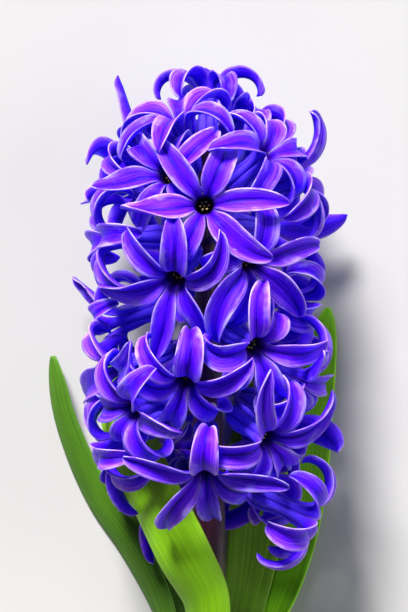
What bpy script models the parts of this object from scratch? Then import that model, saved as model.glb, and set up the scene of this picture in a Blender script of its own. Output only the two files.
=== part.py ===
"""A cut hyacinth flower, lying on its side on a flat surface.

One scape carries a dense raceme of florets, each on a short pedicel. A floret is a fleshy tube that
splits at its mouth into six tepals, which flare out and curl back. Five strap leaves clasp the scape
at the cut neck. +Y runs up the raceme, +Z is the side that faces up, and the surface is z = 0.
Shapes are worked out in millimetres and put into the meshes in metres.
"""

import math

import bmesh
import bpy
import numpy as np
from mathutils import Matrix
from mathutils.bvhtree import BVHTree

MM = 0.001
SEED = 8

# Scape: the flower stem, from the cut neck to the tip inside the raceme.
NECK_Y = -85.0
TIP_Y = 68.0
NECK_HEIGHT = 8.9  # of the scape's centre above the surface, at the cut
RACEME_HEIGHT = 32.0  # of its centre, where the raceme begins
RACEME_Y = -20.0
RACEME_RISE = 0.035
SCAPE_SIDE = -0.9
SCAPE_LEAN = -0.01  # sideways, per mm upwards
SCAPE_RADII = (4.4, 4.1, 2.1)  # at the cut, at the raceme's base and near the tip
SCAPE_SIDES = 10
SCAPE_STATIONS = 14

# Raceme: florets follow each other up the scape in a spiral.
FLORETS = 34
DIVERGENCE = math.radians(137.5)
FRONT = 24  # the floret that faces straight up, counted from the lowest
UNGROWN = (1, 5)  # places in the spiral with no floret
LOWER_PITCH = 3.25  # mm of scape from one floret to the next, below FRONT
FRONT_Y = 49.0
CROWN_LENGTH = 11.5  # mm of scape that carries the florets above FRONT

# Florets that lean out of the spiral, towards room or light: mm along the scape, degrees round it and
# degrees of lift.
LEANS = {
    0: (8.0, 22.0, 8.0),
    2: (7.0, 2.0, 14.0),
    3: (18.9, -12.0, -16.0),
    4: (1.0, -24.0, 8.0),
    6: (13.8, 0.0, 17.0),
    8: (2.7, 0.0, 8.0),
    9: (-2.5, 3.0, 3.0),
    11: (13.0, -4.0, -17.0),
    16: (-1.5, 9.0, -3.0),
    19: (10.0, 14.0, -20.0),
    21: (2.6, -27.0, -8.0),
    26: (-3.0, 0.0, 0.0),
    27: (-2.5, 28.0, -12.0),
    29: (-5.0, 17.0, -14.0),
    30: (-5.0, -8.0, -18.0),
    31: (-3.0, 16.0, -6.0),
    32: (-6.0, -10.0, 0.0),
    33: (0.0, -28.0, 0.0),
}

# One floret, at full size.
PEDICEL = 6.0
PEDICEL_RADIUS = 1.1
TUBE_LENGTH = 14.5
BASE_RADIUS, BELLY_RADIUS, WAIST_RADIUS, MOUTH_RADIUS = 1.5, 3.1, 2.3, 2.9
TEPALS = 6
TEPAL_LENGTH = 21.5
TEPAL_WIDTH = 6.4
TEPAL_THICKNESS = 0.9
ROOT_WIDTH = 0.46  # share of the full width
DRAWN_IN = 0.18  # how much smaller a tepal's first ring is, where it leaves the mouth beside its neighbours
BREADTHS = (0.92, 1.1)  # of the outer and the inner tepals, as shares of TEPAL_WIDTH
CHANNEL = 0.23  # how far the edges rise above the midrib, per mm of width
TEPAL_STEPS = 24
TEPAL_STATIONS = (4, 8, 12, 16, 20)
GAP = 0.3

# Tepals of the florets that show most, anticlockwise as one looks into the throat: where the tip points,
# how far the tepal flares, curls back and twists, in degrees in the floret's own frame.
FACING = {
    33: (
        (0, 28, 190, 0), (60, 50, 180, 0), (118, 50, 180, 0),
        (180, 28, 180, 0), (240, 50, 150, 0), (300, 50, 150, 0),
    ),
    32: (
        (0, 60, 150, 0), (60, 60, 150, 0), (120, 60, 150, 0),
        (185, 64, 140, 0), (235, 66, 120, 0), (290, 62, 110, 0),
    ),
    31: (
        (10, 56, 150, 0), (70, 56, 180, 0), (130, 56, 190, 0),
        (185, 60, 170, 0), (240, 60, 170, 0), (305, 56, 150, 0),
    ),
    30: (
        (-15, 70, 150, 0), (40, 60, 170, 0), (92, 30, 12, 12),
        (160, 60, 150, 0), (220, 66, 170, 0), (280, 66, 150, 0),
    ),
    29: (
        (0, 66, 150, 0), (55, 60, 200, 0), (110, 66, 120, 0),
        (175, 74, 60, 20), (230, 66, 150, 0), (295, 66, 190, 0),
    ),
    27: (
        (40, 66, 120, 0), (84, 62, 170, 0), (136, 58, 205, 0),
        (190, 82, 25, 40), (250, 76, 100, 0), (312, 74, 60, 0),
    ),
    26: (
        (20, 60, 120, 0), (85, 60, 195, 0), (140, 62, 190, 0),
        (205, 66, 150, 0), (265, 66, 120, 0), (320, 60, 120, 0),
    ),
    24: (
        (0, 82, 20, 0), (68, 60, 150, 0), (124, 80, 60, 0),
        (180, 84, 40, 78), (246, 54, 190, 0), (322, 80, 45, 0),
    ),
    23: (
        (20, 66, 150, 0), (75, 66, 150, 0), (125, 66, 150, 0),
        (165, 38, 8, 0), (235, 62, 150, 0), (300, 66, 150, 0),
    ),
    22: (
        (5, 70, 150, 0), (60, 62, 190, 0), (130, 60, 150, 0),
        (190, 60, 150, 0), (245, 70, 150, 0), (300, 76, 130, 0),
    ),
    21: (
        (12, 80, 50, 0), (75, 62, 190, 0), (139, 56, 195, 0),
        (242, 72, 70, 45), (272, 76, 80, 0), (318, 80, 35, 45),
    ),
    19: (
        (24, 78, 70, 20), (84, 58, 120, 0), (136, 72, 110, 0),
        (172, 80, 50, -20), (238, 78, 20, 0), (286, 70, 50, 40),
    ),
    18: (
        (20, 60, 150, 0), (85, 60, 195, 0), (140, 66, 190, 0),
        (200, 66, 185, 0), (255, 66, 180, 0), (315, 60, 150, 0),
    ),
    17: (
        (0, 66, 150, 0), (55, 62, 180, 0), (105, 42, 14, 40),
        (170, 60, 150, 0), (235, 66, 150, 0), (300, 66, 170, 0),
    ),
    16: (
        (2, 80, 50, 0), (45, 68, 150, 0), (85, 66, 150, 0),
        (140, 60, 190, 0), (262, 62, 160, 0), (318, 82, 40, 35),
    ),
    14: (
        (10, 70, 150, 0), (60, 66, 195, 0), (120, 64, 170, 0),
        (205, 58, 60, 25), (250, 78, 70, 0), (305, 74, 130, 0),
    ),
    11: (
        (20, 80, 55, 0), (80, 60, 180, 0), (132, 66, 160, 0),
        (180, 74, 110, 0), (238, 62, 120, 0), (292, 60, 140, 0),
    ),
    9: (
        (-10, 60, 210, 0), (75, 66, 150, 0), (130, 60, 150, 0),
        (190, 60, 120, 0), (258, 34, 34, 25), (310, 60, 200, 0),
    ),
    8: (
        (45, 70, 40, 20), (75, 62, 160, 0), (110, 80, 20, 0),
        (200, 66, 170, 0), (250, 70, 150, 0), (300, 66, 150, 0),
    ),
    6: (
        (-12, 74, 30, 25), (50, 52, 210, 0), (110, 52, 210, 0),
        (170, 56, 210, 0), (230, 50, 215, 0), (290, 56, 210, 0),
    ),
    3: (
        (8, 82, 60, -20), (84, 54, 190, 12), (168, 82, 50, 20),
        (240, 50, 70, 0), (272, 46, 75, 0), (318, 58, 150, 0),
    ),
    0: (
        (30, 70, 150, 0), (85, 60, 170, 0), (140, 64, 150, 0),
        (200, 60, 190, 0), (250, 66, 150, 0), (310, 60, 140, 0),
    ),
}

# Poses that a tepal can take round its favourite one.
POSES = 260
FREE_POSES = 500
CLEARANCE = 0.22
PRESS = 0.35  # how far a tepal's underside may be pressed flat by the surface

# Leaves: (y, x, z, width, roll in degrees, radius of the channel) along each. With no roll the hollow side
# faces up, and with 180 down; 90 turns it to face right. The first row of each clasps the scape.
LEAF_THICKNESS = 1.7
LEAF_SEGMENTS = 6
LEAF_STATIONS = 12
LEAVES = {
    "leaf_front": (
        (-85.0, -4.4, 12.6, 14.5, 130.0, 5.7),
        (-68.0, -3.6, 18.6, 14.0, 146.0, 7.0),
        (-52.8, -2.0, 27.0, 14.6, 168.0, 9.0),
        (-40.0, -8.0, 34.0, 16.6, 158.0, 13.0),
        (-28.0, -14.6, 32.4, 18.8, 142.0, 18.0),
        (-18.0, -19.6, 25.6, 19.0, 140.0, 22.0),
        (-7.8, -23.0, 19.0, 18.0, 142.0, 22.0),
        (3.0, -25.6, 16.0, 14.6, 146.0, 20.0),
        (13.0, -27.2, 14.0, 9.0, 150.0, 16.0),
    ),
    "leaf_left": (
        (-85.0, -7.8, 8.9, 9.4, 90.0, 7.75),
        (-70.0, -9.8, 6.8, 9.8, 106.0, 9.0),
        (-54.4, -14.4, 4.8, 10.2, 134.0, 12.0),
        (-40.0, -21.8, 4.0, 10.4, 142.0, 14.0),
        (-28.9, -29.4, 3.9, 10.2, 142.0, 14.0),
        (-15.0, -36.2, 4.0, 9.2, 140.0, 13.0),
        (-3.0, -40.2, 4.3, 7.8, 138.0, 12.0),
        (5.0, -41.6, 4.6, 6.8, 136.0, 11.0),
        (11.0, -42.3, 4.9, 5.6, 134.0, 10.0),
    ),
    "leaf_left_back": (
        (-85.0, -2.7, 1.7, 8.9, 20.0, 7.75),
        (-68.0, -5.4, 1.1, 8.4, 12.0, 11.0),
        (-54.0, -9.2, 0.9, 8.4, 0.0, 18.0),
        (-42.0, -13.6, 0.9, 9.4, 0.0, 24.0),
        (-30.0, -18.8, 0.9, 9.6, 0.0, 24.0),
        (-20.0, -22.6, 0.9, 8.2, 0.0, 20.0),
        (-12.0, -25.0, 1.0, 6.5, 0.0, 16.0),
    ),
    "leaf_back": (
        (-85.0, 2.8, 3.96, 12.0, -30.0, 5.7),
        (-68.0, 6.2, 2.7, 12.0, -16.0, 9.0),
        (-54.0, 9.4, 1.2, 12.2, 0.0, 18.0),
        (-41.6, 11.4, 0.65, 14.2, 0.0, 26.0),
        (-27.0, 12.6, 0.65, 16.0, 0.0, 30.0),
        (-14.0, 12.7, 0.65, 15.6, 0.0, 28.0),
        (-3.0, 12.8, 0.8, 12.0, 0.0, 22.0),
        (6.0, 12.9, 1.0, 8.5, 0.0, 16.0),
    ),
    "leaf_right": (
        (-85.0, 7.7, 8.9, 9.6, -90.0, 7.75),
        (-70.0, 12.4, 6.4, 9.4, -72.0, 9.0),
        (-53.0, 20.2, 3.0, 9.4, -40.0, 11.0),
        (-38.0, 24.2, 1.6, 9.6, -16.0, 14.0),
        (-22.0, 26.8, 1.0, 9.8, -8.0, 18.0),
        (-6.0, 28.2, 1.0, 9.6, -5.0, 18.0),
        (10.0, 29.8, 1.0, 8.4, -5.0, 16.0),
        (24.0, 31.7, 1.1, 6.0, -5.0, 14.0),
    ),
}


def unit(v):
    return v / np.linalg.norm(v, axis=-1, keepdims=True)


def smooth(x):
    x = np.clip(x, 0.0, 1.0)
    return x * x * (3.0 - 2.0 * x)


def scape_point(y):
    """The scape's centre line: up from the neck in one easy curve, then nearly level through the raceme."""
    bend = smooth((y - NECK_Y) / (RACEME_Y - NECK_Y))
    height = NECK_HEIGHT + (RACEME_HEIGHT - NECK_HEIGHT) * bend + RACEME_RISE * max(y - RACEME_Y, 0.0)
    return np.array([SCAPE_SIDE + SCAPE_LEAN * y, y, height])


def scape_frame(y):
    """(tangent, front, right) of the scape at y: front is the side that faces up."""
    tangent = unit(scape_point(y + 0.5) - scape_point(y - 0.5))
    front = unit(np.array([0.0, 0.0, 1.0]) - tangent * tangent[2])
    return tangent, front, np.cross(tangent, front)


def scape_radius(y):
    at = (NECK_Y, RACEME_Y, TIP_Y)
    return float(np.interp(y, at, SCAPE_RADII))


def floret_places():
    """Each floret's place: where it joins the scape, which way it points, its own axes and its size."""
    rng = np.random.default_rng(SEED)
    places = []
    for n in range(FLORETS):
        if n in UNGROWN:
            continue
        above = n - FRONT
        if above <= 0:
            y = FRONT_Y + LOWER_PITCH * above
        else:
            share = above / (FLORETS - 1 - FRONT)
            y = FRONT_Y + CROWN_LENGTH * (1.6 * share - 0.6 * share**2)
        along, around, more = LEANS.get(n, (0.0, 0.0, 0.0))
        y += along
        azimuth = -DIVERGENCE * above + math.radians(around + rng.uniform(-3.0, 3.0))
        lift = math.radians(floret_lift(n) + more + rng.uniform(-4.0, 4.0))
        tangent, front, right = scape_frame(y)
        outward = math.cos(azimuth) * front + math.sin(azimuth) * right
        axis = math.cos(lift) * outward + math.sin(lift) * tangent
        up = unit(tangent - axis * (tangent @ axis))
        size = 1.0 - 0.08 * smooth((n - FRONT + 3) / 14.0)
        base = scape_point(y) + outward * (scape_radius(y) + 1.0) + axis * PEDICEL * size
        places.append(
            {
                "number": n,
                "root": scape_point(y),
                "base": base,
                "outward": outward,
                "axis": axis,
                "up": up,
                "side": np.cross(up, axis),
                "size": size,
            }
        )
    return places


def floret_lift(n):
    """Degrees that a floret points up the scape: the lowest hang, the top ones stand nearly upright."""
    if n < FRONT:
        return -36.0 + 38.0 * (n / FRONT) ** 1.5
    return 4.0 + 70.0 * ((n - FRONT) / (FLORETS - 1 - FRONT)) ** 0.9


def width_at(t):
    """A tepal's width along its length, as a share of the widest: narrow root, broad middle, round point."""
    rise = ROOT_WIDTH + (1.0 - ROOT_WIDTH) * smooth(t / 0.4)
    fall = (1.0 - np.clip((t - 0.38) / 0.62, 0.0, 1.0) ** 2.5) ** 0.8
    return rise * fall


def tepal_frames(place, pose):
    """Centre line, side, inner normal and width of one tepal at each step of its length.

    In the plane through the floret's axis the line leaves the mouth along the axis, flares outwards over
    its first part and then curls back. Swing and sway take it sideways, early and late, and twist turns
    it about its own line.
    """
    t = np.linspace(0.0, 1.0, TEPAL_STEPS + 1)
    step = TEPAL_LENGTH * place["size"] * pose["length"] / TEPAL_STEPS
    ease = 1.0 - (1.0 - np.clip(t / 0.42, 0.0, 1.0)) ** 2
    heading = 0.12 + (pose["flare"] - 0.12) * ease + pose["curl"] * t**1.6
    middle = (heading[1:] + heading[:-1]) / 2
    out = MOUTH_RADIUS * 0.86 * place["size"] + np.concatenate([[0.0], np.cumsum(np.sin(middle))]) * step
    forward = np.concatenate([[0.0], np.cumsum(np.cos(middle))]) * step
    turn = pose["turn"] + pose["swing"] * smooth(t / 0.6) + pose["sway"] * t**2
    radial = np.outer(np.cos(turn), place["side"]) + np.outer(np.sin(turn), place["up"])
    mouth = place["base"] + place["axis"] * TUBE_LENGTH * place["size"]
    line = mouth + radial * out[:, None] + place["axis"] * forward[:, None]
    tangent = unit(np.gradient(line, axis=0))
    around = np.cross(place["axis"], radial)
    across = unit(around - tangent * (around * tangent).sum(1, keepdims=True))
    normal = np.cross(tangent, across)
    roll = pose["twist"] * smooth(t)[:, None]
    side = across * np.cos(roll) + normal * np.sin(roll)
    inner = normal * np.cos(roll) - across * np.sin(roll)
    return line, side, inner, TEPAL_WIDTH * place["size"] * pose["breadth"] * width_at(t)


def tepal_rings(frames, grow=0.0):
    """Four points round the blade at each station: left edge, midrib above, right edge, keel below."""
    line, side, inner, width = frames
    at = list(TEPAL_STATIONS)
    half = (width[at] / 2 + grow)[:, None]
    rise = (CHANNEL * width[at])[:, None]
    middle, s, n = line[at], side[at], inner[at]
    keel = middle - n * (TEPAL_THICKNESS + grow)
    return np.stack([middle - s * half + n * rise, middle + n * grow, middle + s * half + n * rise, keel], 1)


def ring_faces(first, second, count):
    """Triangles that join two rings of count points, given the number of each ring's first point."""
    faces = []
    for i in range(count):
        j = (i + 1) % count
        faces += [(first + i, first + j, second + j), (first + i, second + j, second + i)]
    return faces


def floret_tube(place):
    """Points and faces of the tube up to the mouth, where each tepal takes over a ring of four points.

    Points 0-5, 6-11 and 12-17 are the rings at the base, the belly and the waist. Then come six notches
    between the tepals, six outer points and six inner points of the mouth, and the bottom of the throat.
    """
    size, turns = place["size"], np.array([pose["turn"] for pose in place["poses"]])
    between = (turns + np.roll(turns, -1)) / 2 + np.where(np.roll(turns, -1) < turns, math.pi, 0.0)

    def ring(angles, radius, height):
        radial = np.outer(np.cos(angles), place["side"]) + np.outer(np.sin(angles), place["up"])
        return place["base"] + radial * radius * size + place["axis"] * height * size

    points = np.concatenate(
        [
            ring(turns, BASE_RADIUS, 0.0),
            ring(turns, BELLY_RADIUS, 3.6),
            ring(turns, WAIST_RADIUS, 9.0),
            ring(between, MOUTH_RADIUS, TUBE_LENGTH - 0.3),
            ring(turns, MOUTH_RADIUS + 0.25, TUBE_LENGTH),
            ring(turns, MOUTH_RADIUS * 0.72, TUBE_LENGTH),
            ring(turns[:1], 0.0, TUBE_LENGTH - 3.0),
        ]
    )
    faces = [(0, i + 1, i) for i in range(1, 5)]
    faces += ring_faces(0, 6, 6) + ring_faces(6, 12, 6)
    for k in range(TEPALS):
        after, before = (k + 1) % TEPALS, (k - 1) % TEPALS
        low, high, notch, last = 12 + k, 12 + after, 18 + k, 18 + before
        outer, inner, throat = 24 + k, 30 + k, 36
        faces += [(low, high, notch), (low, notch, outer), (low, outer, last)]
        faces += [(last, inner, throat), (inner, notch, throat)]
    return points, faces


def floret_mesh(place):
    """Points and faces of the whole floret: the tube and the tepals, as one closed skin."""
    points, faces = list(place["tube_points"]), list(place["tube_faces"])
    for k, frames in enumerate(place["tepals"]):
        root = [18 + (k - 1) % TEPALS, 30 + k, 18 + k, 24 + k]
        rings = tepal_rings(frames)
        rings[0] += (rings[0].mean(0) - rings[0]) * DRAWN_IN
        for ring in rings:
            now = list(range(len(points), len(points) + 4))
            points += list(ring)
            for i, j in ((1, 2), (2, 3)):
                faces += [(root[i], root[j], now[j]), (root[i], now[j], now[i])]
            for i, j in ((0, 1), (3, 0)):
                faces += [(root[i], root[j], now[i]), (root[j], now[j], now[i])]
            root = now
        line, _, inner, _ = frames
        points.append(line[-1] - inner[-1] * TEPAL_THICKNESS / 2)
        faces += [(root[i], root[(i + 1) % 4], len(points) - 1) for i in range(4)]
    points = np.array(points)
    points[:, 2] = np.maximum(points[:, 2], 0.0)
    return points, faces


def blade_trees(place, k, frames, grow):
    """Search trees of one tepal swollen by grow: whole, and without its root. Also its lowest point."""
    rings = tepal_rings(frames, grow)
    line, _, inner, _ = frames
    tip = line[-1] - inner[-1] * TEPAL_THICKNESS / 2 + unit(line[-1] - line[-2]) * grow
    root = place["tube_points"][[18 + (k - 1) % TEPALS, 30 + k, 18 + k, 24 + k]]
    points = [tuple(p) for p in np.concatenate([root, rings.reshape(-1, 3), tip[None]])]
    faces = []
    for n in range(len(rings)):
        faces += ring_faces(4 * n, 4 * n + 4, 4)
    last = 4 * len(rings)
    faces += [(last + i, last + (i + 1) % 4, last + 4) for i in range(4)]
    whole = BVHTree.FromPolygons(points, faces)
    free = BVHTree.FromPolygons(points, faces[8:])
    return whole, free, min(rings[:, :, 2].min(), tip[2])


def collar_tree(place):
    """The tube with the room that its tepals need at their roots: a cup that widens past the mouth."""
    points, faces = list(place["tube_points"]), [f for f in place["tube_faces"] if max(f) < 30]
    for radius, height in ((5.6, 3.2), (0.0, 3.2)):
        for k in range(TEPALS):
            angle = place["poses"][k]["turn"]
            radial = math.cos(angle) * place["side"] + math.sin(angle) * place["up"]
            rim = place["axis"] * (TUBE_LENGTH + height) * place["size"]
            points.append(place["base"] + radial * radius * place["size"] + rim)
    faces += ring_faces(24, 37, 6) + ring_faces(37, 43, 6)
    return tree_of(points, faces)


def tree_of(points, faces):
    return BVHTree.FromPolygons([tuple(p) for p in points], faces)


def pose_steps():
    """The ways a tepal can stray from its favourite pose, the smallest first, then poses of any kind."""
    rng = np.random.default_rng(SEED + 1)
    size = np.radians((14, 13, 42, 18, 14, 3.4))
    near = rng.normal(size=(POSES, 6)) * np.linspace(0.35, 2.2, POSES)[:, None]
    near[0] = 0.0
    near = near[np.argsort((near**2).sum(1).round(6), kind="stable")] * size
    near[:, 5] = -abs(near[:, 5])
    low, high = np.radians((-28, 15, 8, -45, -40, 0)), np.radians((28, 98, 185, 45, 40, 0))
    free = rng.uniform(low, high, (FREE_POSES, 6))
    free[:, 5] = np.linspace(0.98, 0.55, FREE_POSES)
    return [("stray", row) for row in near] + [("pose", row) for row in free]


def favourites(place, rng):
    """The poses that a floret's tepals would take alone. Their roots share out the mouth."""
    facing = FACING.get(place["number"])
    if facing:
        tips = [math.radians(tip) for tip, _, _, _ in facing]
        start = sum(tips) / TEPALS - math.radians(150)
    else:
        start = rng.uniform(0.0, math.tau)
    poses = []
    for k in range(TEPALS):
        root = start + k * math.tau / TEPALS
        pose = {
            "turn": root,
            "flare": math.radians(rng.uniform(44, 74)),
            "curl": math.radians(rng.uniform(15, 50) if rng.random() < 0.16 else rng.uniform(110, 210)),
            "swing": 0.0,
            "sway": math.radians(rng.uniform(-26, 26)),
            "twist": math.radians(rng.uniform(-18, 18)),
            "length": rng.uniform(0.94, 1.05),
            "breadth": BREADTHS[k % 2],
        }
        if facing:
            pose["flare"], pose["curl"], pose["twist"] = (math.radians(v) for v in facing[k][1:])
            pose["sway"] = tips[k] - root
        poses.append(pose)
    return poses


def strayed(pose, kind, row):
    """The pose after a small step away, or with new values that keep only its root and general lean."""
    names = ("swing", "flare", "curl", "sway", "twist", "length")
    moved = dict(pose)
    for name, value in zip(names, row):
        if kind == "stray" or name == "sway":
            moved[name] += value
        else:
            moved[name] = value
    moved["curl"] = min(max(moved["curl"], 0.1), 3.9)
    moved["flare"] = min(max(moved["flare"], 0.25), 1.75)
    moved["length"] = max(moved["length"], 0.55)
    return moved


def settle(places, fixed):
    """Gives every tepal the pose nearest its favourite one that touches nothing, the front florets first."""
    rng = np.random.default_rng(SEED + 2)
    strays = pose_steps()
    for place in places:
        place["poses"] = favourites(place, rng)
        place["tepals"] = []
        place["tube_points"], place["tube_faces"] = floret_tube(place)
        place["tube"] = tree_of(place["tube_points"], place["tube_faces"])
        place["collar"] = collar_tree(place)
        place["mouth"] = place["base"] + place["axis"] * TUBE_LENGTH * place["size"]
        place["blades"], place["free"] = {}, {}
    for place in sorted(places, key=lambda p: -p["mouth"][2]):
        near = [p for p in places if p is not place and np.linalg.norm(p["mouth"] - place["mouth"]) < 48.0]
        solids = fixed + [p["collar"] for p in near]
        solids += [blade for p in near for blade in p["blades"].values()]
        for k in range(TEPALS):
            own = [place["tube"]] + list(place["free"].values())
            for kind, row in strays:
                pose = strayed(place["poses"][k], kind, row)
                frames = tepal_frames(place, pose)
                whole, free, lowest = blade_trees(place, k, frames, CLEARANCE)
                if lowest < -PRESS:
                    continue
                if any(whole.overlap(other) for other in solids):
                    continue
                if any(free.overlap(other) for other in own):
                    continue
                break
            place["poses"][k] = pose
            place["blades"][k], place["free"][k], _ = blade_trees(place, k, frames, 0.0)
            place["tepals"].append(frames)


def add_object(name, points, faces, material):
    mesh = bpy.data.meshes.new(name)
    mesh.from_pydata([tuple(p) for p in np.asarray(points) * MM], [], faces)
    mesh.materials.append(material)
    shape = bmesh.new()
    shape.from_mesh(mesh)
    bmesh.ops.recalc_face_normals(shape, faces=shape.faces)
    if shape.calc_volume(signed=True) < 0.0:
        bmesh.ops.reverse_faces(shape, faces=shape.faces)
    shape.to_mesh(mesh)
    shape.free()
    obj = bpy.data.objects.new(name, mesh)
    bpy.context.scene.collection.objects.link(obj)
    return obj


def tube_mesh(line, radii, sides):
    """A closed tube round a line of points, with flat ends."""
    line = np.asarray(line)
    tangents = unit(np.gradient(line, axis=0))
    points, faces = [], []
    hint = np.array([1.0, 0.0, 0.0])
    for centre, tangent, radius in zip(line, tangents, radii):
        if abs(tangent @ hint) > 0.95:
            hint = np.array([0.0, 0.0, 1.0])
        u = unit(hint - tangent * (hint @ tangent))
        v = np.cross(tangent, u)
        hint = u
        for i in range(sides):
            angle = math.tau * i / sides
            points.append(centre + (math.cos(angle) * u + math.sin(angle) * v) * radius)
    for n in range(len(line) - 1):
        faces += ring_faces(n * sides, (n + 1) * sides, sides)
    last = (len(line) - 1) * sides
    faces += [(0, i + 1, i) for i in range(1, sides - 1)]
    faces += [(last, last + i, last + i + 1) for i in range(1, sides - 1)]
    return np.array(points), faces


def scape_mesh():
    ys = np.linspace(NECK_Y, TIP_Y, SCAPE_STATIONS)
    line = [scape_point(y) for y in ys]
    radii = [scape_radius(y) for y in ys]
    radii[-1] *= 0.6
    return tube_mesh(line, radii, SCAPE_SIDES)


def pedicel_mesh(place):
    """A short stalk that leaves the scape and turns into the floret's own direction."""
    end = place["base"] - place["axis"] * GAP
    start = place["root"] + place["outward"] * 0.5
    control = end - place["axis"] * PEDICEL * 0.8 * place["size"]
    t = np.linspace(0.0, 1.0, 4)[:, None]
    line = (1 - t) ** 2 * start + 2 * t * (1 - t) * control + t**2 * end
    return tube_mesh(line, [PEDICEL_RADIUS] * 4, 5)


def leaf_mesh(rows):
    """A strap blade. Across, it is an arc of a circle that opens from the neck upwards, with thin edges."""
    rows = np.array(rows)
    lengths = np.concatenate([[0.0], np.cumsum(np.linalg.norm(np.diff(rows[:, :3], axis=0), axis=1))])
    share = 1.0 - (1.0 - np.linspace(0.0, 1.0, LEAF_STATIONS)) ** 1.4
    y, x, z, width, roll, radius = (curve_at(lengths, column, share * lengths[-1]) for column in rows.T)
    width = width * np.sqrt(1.0 - 0.97 * np.clip((share - 0.88) / 0.12, 0.0, 1.0) ** 2.2)
    line = np.stack([x, y, z], 1)
    tangent = unit(np.gradient(line, axis=0))
    front = unit(np.array([0.0, 0.0, 1.0]) - tangent * tangent[:, 2:])
    right = np.cross(tangent, front)
    angle = np.radians(roll)[:, None]
    inner = front * np.cos(angle) + right * np.sin(angle)
    across = np.cross(tangent, inner)
    sweep = np.linspace(-1.0, 1.0, LEAF_SEGMENTS + 1)
    points, faces = [], []
    for n in range(LEAF_STATIONS):
        half = min(width[n] / (2.0 * radius[n]), 1.55)
        tip = 0.55 if n == LEAF_STATIONS - 1 else 1.0
        for side in (1.0, -1.0):
            span = sweep if side > 0 else sweep[-2:0:-1]
            for s in span:
                thick = side * LEAF_THICKNESS / 2 * tip * math.sqrt(max(1.0 - s * s, 0.0))
                reach = radius[n] - thick
                a = s * half
                sunk = inner[n] * (radius[n] - reach * math.cos(a))
                points.append(line[n] + sunk + across[n] * reach * math.sin(a))
    count = 2 * LEAF_SEGMENTS
    for n in range(LEAF_STATIONS - 1):
        faces += ring_faces(n * count, (n + 1) * count, count)
    last = (LEAF_STATIONS - 1) * count
    for first, flip in ((0, True), (last, False)):
        for i in range(LEAF_SEGMENTS):
            quad = [first + i, first + i + 1, first + (count - i - 1) % count, first + (count - i) % count]
            quad = [v for m, v in enumerate(quad) if v not in quad[:m]]
            quad = quad[::-1] if flip else quad
            faces += [(quad[0], quad[m], quad[m + 1]) for m in range(1, len(quad) - 1)]
    points = np.array(points)
    points[:, 2] = np.maximum(points[:, 2], 0.0)
    return points, faces


def curve_at(knots, values, at):
    """A smooth curve through the values: cubic between knots, with slopes from the neighbours."""
    slopes = np.gradient(values, knots)
    n = np.clip(np.searchsorted(knots, at) - 1, 0, len(knots) - 2)
    gap = knots[n + 1] - knots[n]
    u = (at - knots[n]) / gap
    ends = values[n] * (1 + 2 * u) * (1 - u) ** 2 + values[n + 1] * u**2 * (3 - 2 * u)
    return ends + gap * (slopes[n] * u * (1 - u) ** 2 - slopes[n + 1] * u**2 * (1 - u))


def plain_material(name, colour, roughness):
    material = bpy.data.materials.new(name)
    material.use_nodes = True
    shader = material.node_tree.nodes["Principled BSDF"]
    shader.inputs["Base Color"].default_value = (*colour, 1.0)
    shader.inputs["Roughness"].default_value = roughness
    shader.inputs["Metallic"].default_value = 0.0
    return material


def union(base, others):
    """Fuses the others into base and removes them."""
    group = bpy.data.collections.new("fused")
    for obj in others:
        group.objects.link(obj)
    modifier = base.modifiers.new("fuse", "BOOLEAN")
    modifier.operation = "UNION"
    modifier.solver = "EXACT"
    modifier.operand_type = "COLLECTION"
    modifier.collection = group
    graph = bpy.context.evaluated_depsgraph_get()
    fused = bpy.data.meshes.new_from_object(base.evaluated_get(graph))
    base.modifiers.clear()
    base.data = fused
    for obj in others:
        bpy.data.objects.remove(obj)
    bpy.data.collections.remove(group)


def centre_on_origin():
    """Moves every node so that the middle of the whole flower's underside is at the origin."""
    objects = list(bpy.context.scene.objects)
    corners = []
    for obj in objects:
        values = np.empty(len(obj.data.vertices) * 3)
        obj.data.vertices.foreach_get("co", values)
        corners += [values.reshape(-1, 3).min(0), values.reshape(-1, 3).max(0)]
    low, high = np.min(corners, axis=0), np.max(corners, axis=0)
    shift = -np.array([(low[0] + high[0]) / 2, (low[1] + high[1]) / 2, low[2]])
    for obj in objects:
        obj.data.transform(Matrix.Translation(shift))


def main():
    for obj in list(bpy.data.objects):
        bpy.data.objects.remove(obj)
    violet = plain_material("tepal_violet", (0.15, 0.03, 0.85), 0.5)
    plum = plain_material("scape_plum", (0.05, 0.01, 0.03), 0.5)
    green = plain_material("leaf_green", (0.14, 0.34, 0.012), 0.5)
    places = floret_places()
    leaves = {name: leaf_mesh(rows) for name, rows in LEAVES.items()}
    pedicels = [pedicel_mesh(place) for place in places]
    fixed = [tree_of(*scape_mesh())] + [tree_of(*mesh) for mesh in pedicels]
    fixed += [tree_of(*mesh) for mesh in leaves.values()]
    settle(places, fixed)
    scape = add_object("scape", *scape_mesh(), plum)
    stalks = [add_object(f"pedicel_{n}", *mesh, plum) for n, mesh in enumerate(pedicels)]
    union(scape, stalks)
    for name, mesh in leaves.items():
        add_object(name, *mesh, green)
    for place in places:
        add_object(f"floret_{place['number'] + 1:02d}", *floret_mesh(place), violet)
    centre_on_origin()


main()
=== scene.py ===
"""A cut hyacinth lying on a pale surface: leaves, stem and a dense raceme of violet-blue florets.

Lengths are in millimetres until a surface goes into its mesh. +Y runs up the raceme, +Z faces up.
"""

import math

import bmesh
import bpy
import numpy as np
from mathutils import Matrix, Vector
from mathutils.bvhtree import BVHTree


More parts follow.
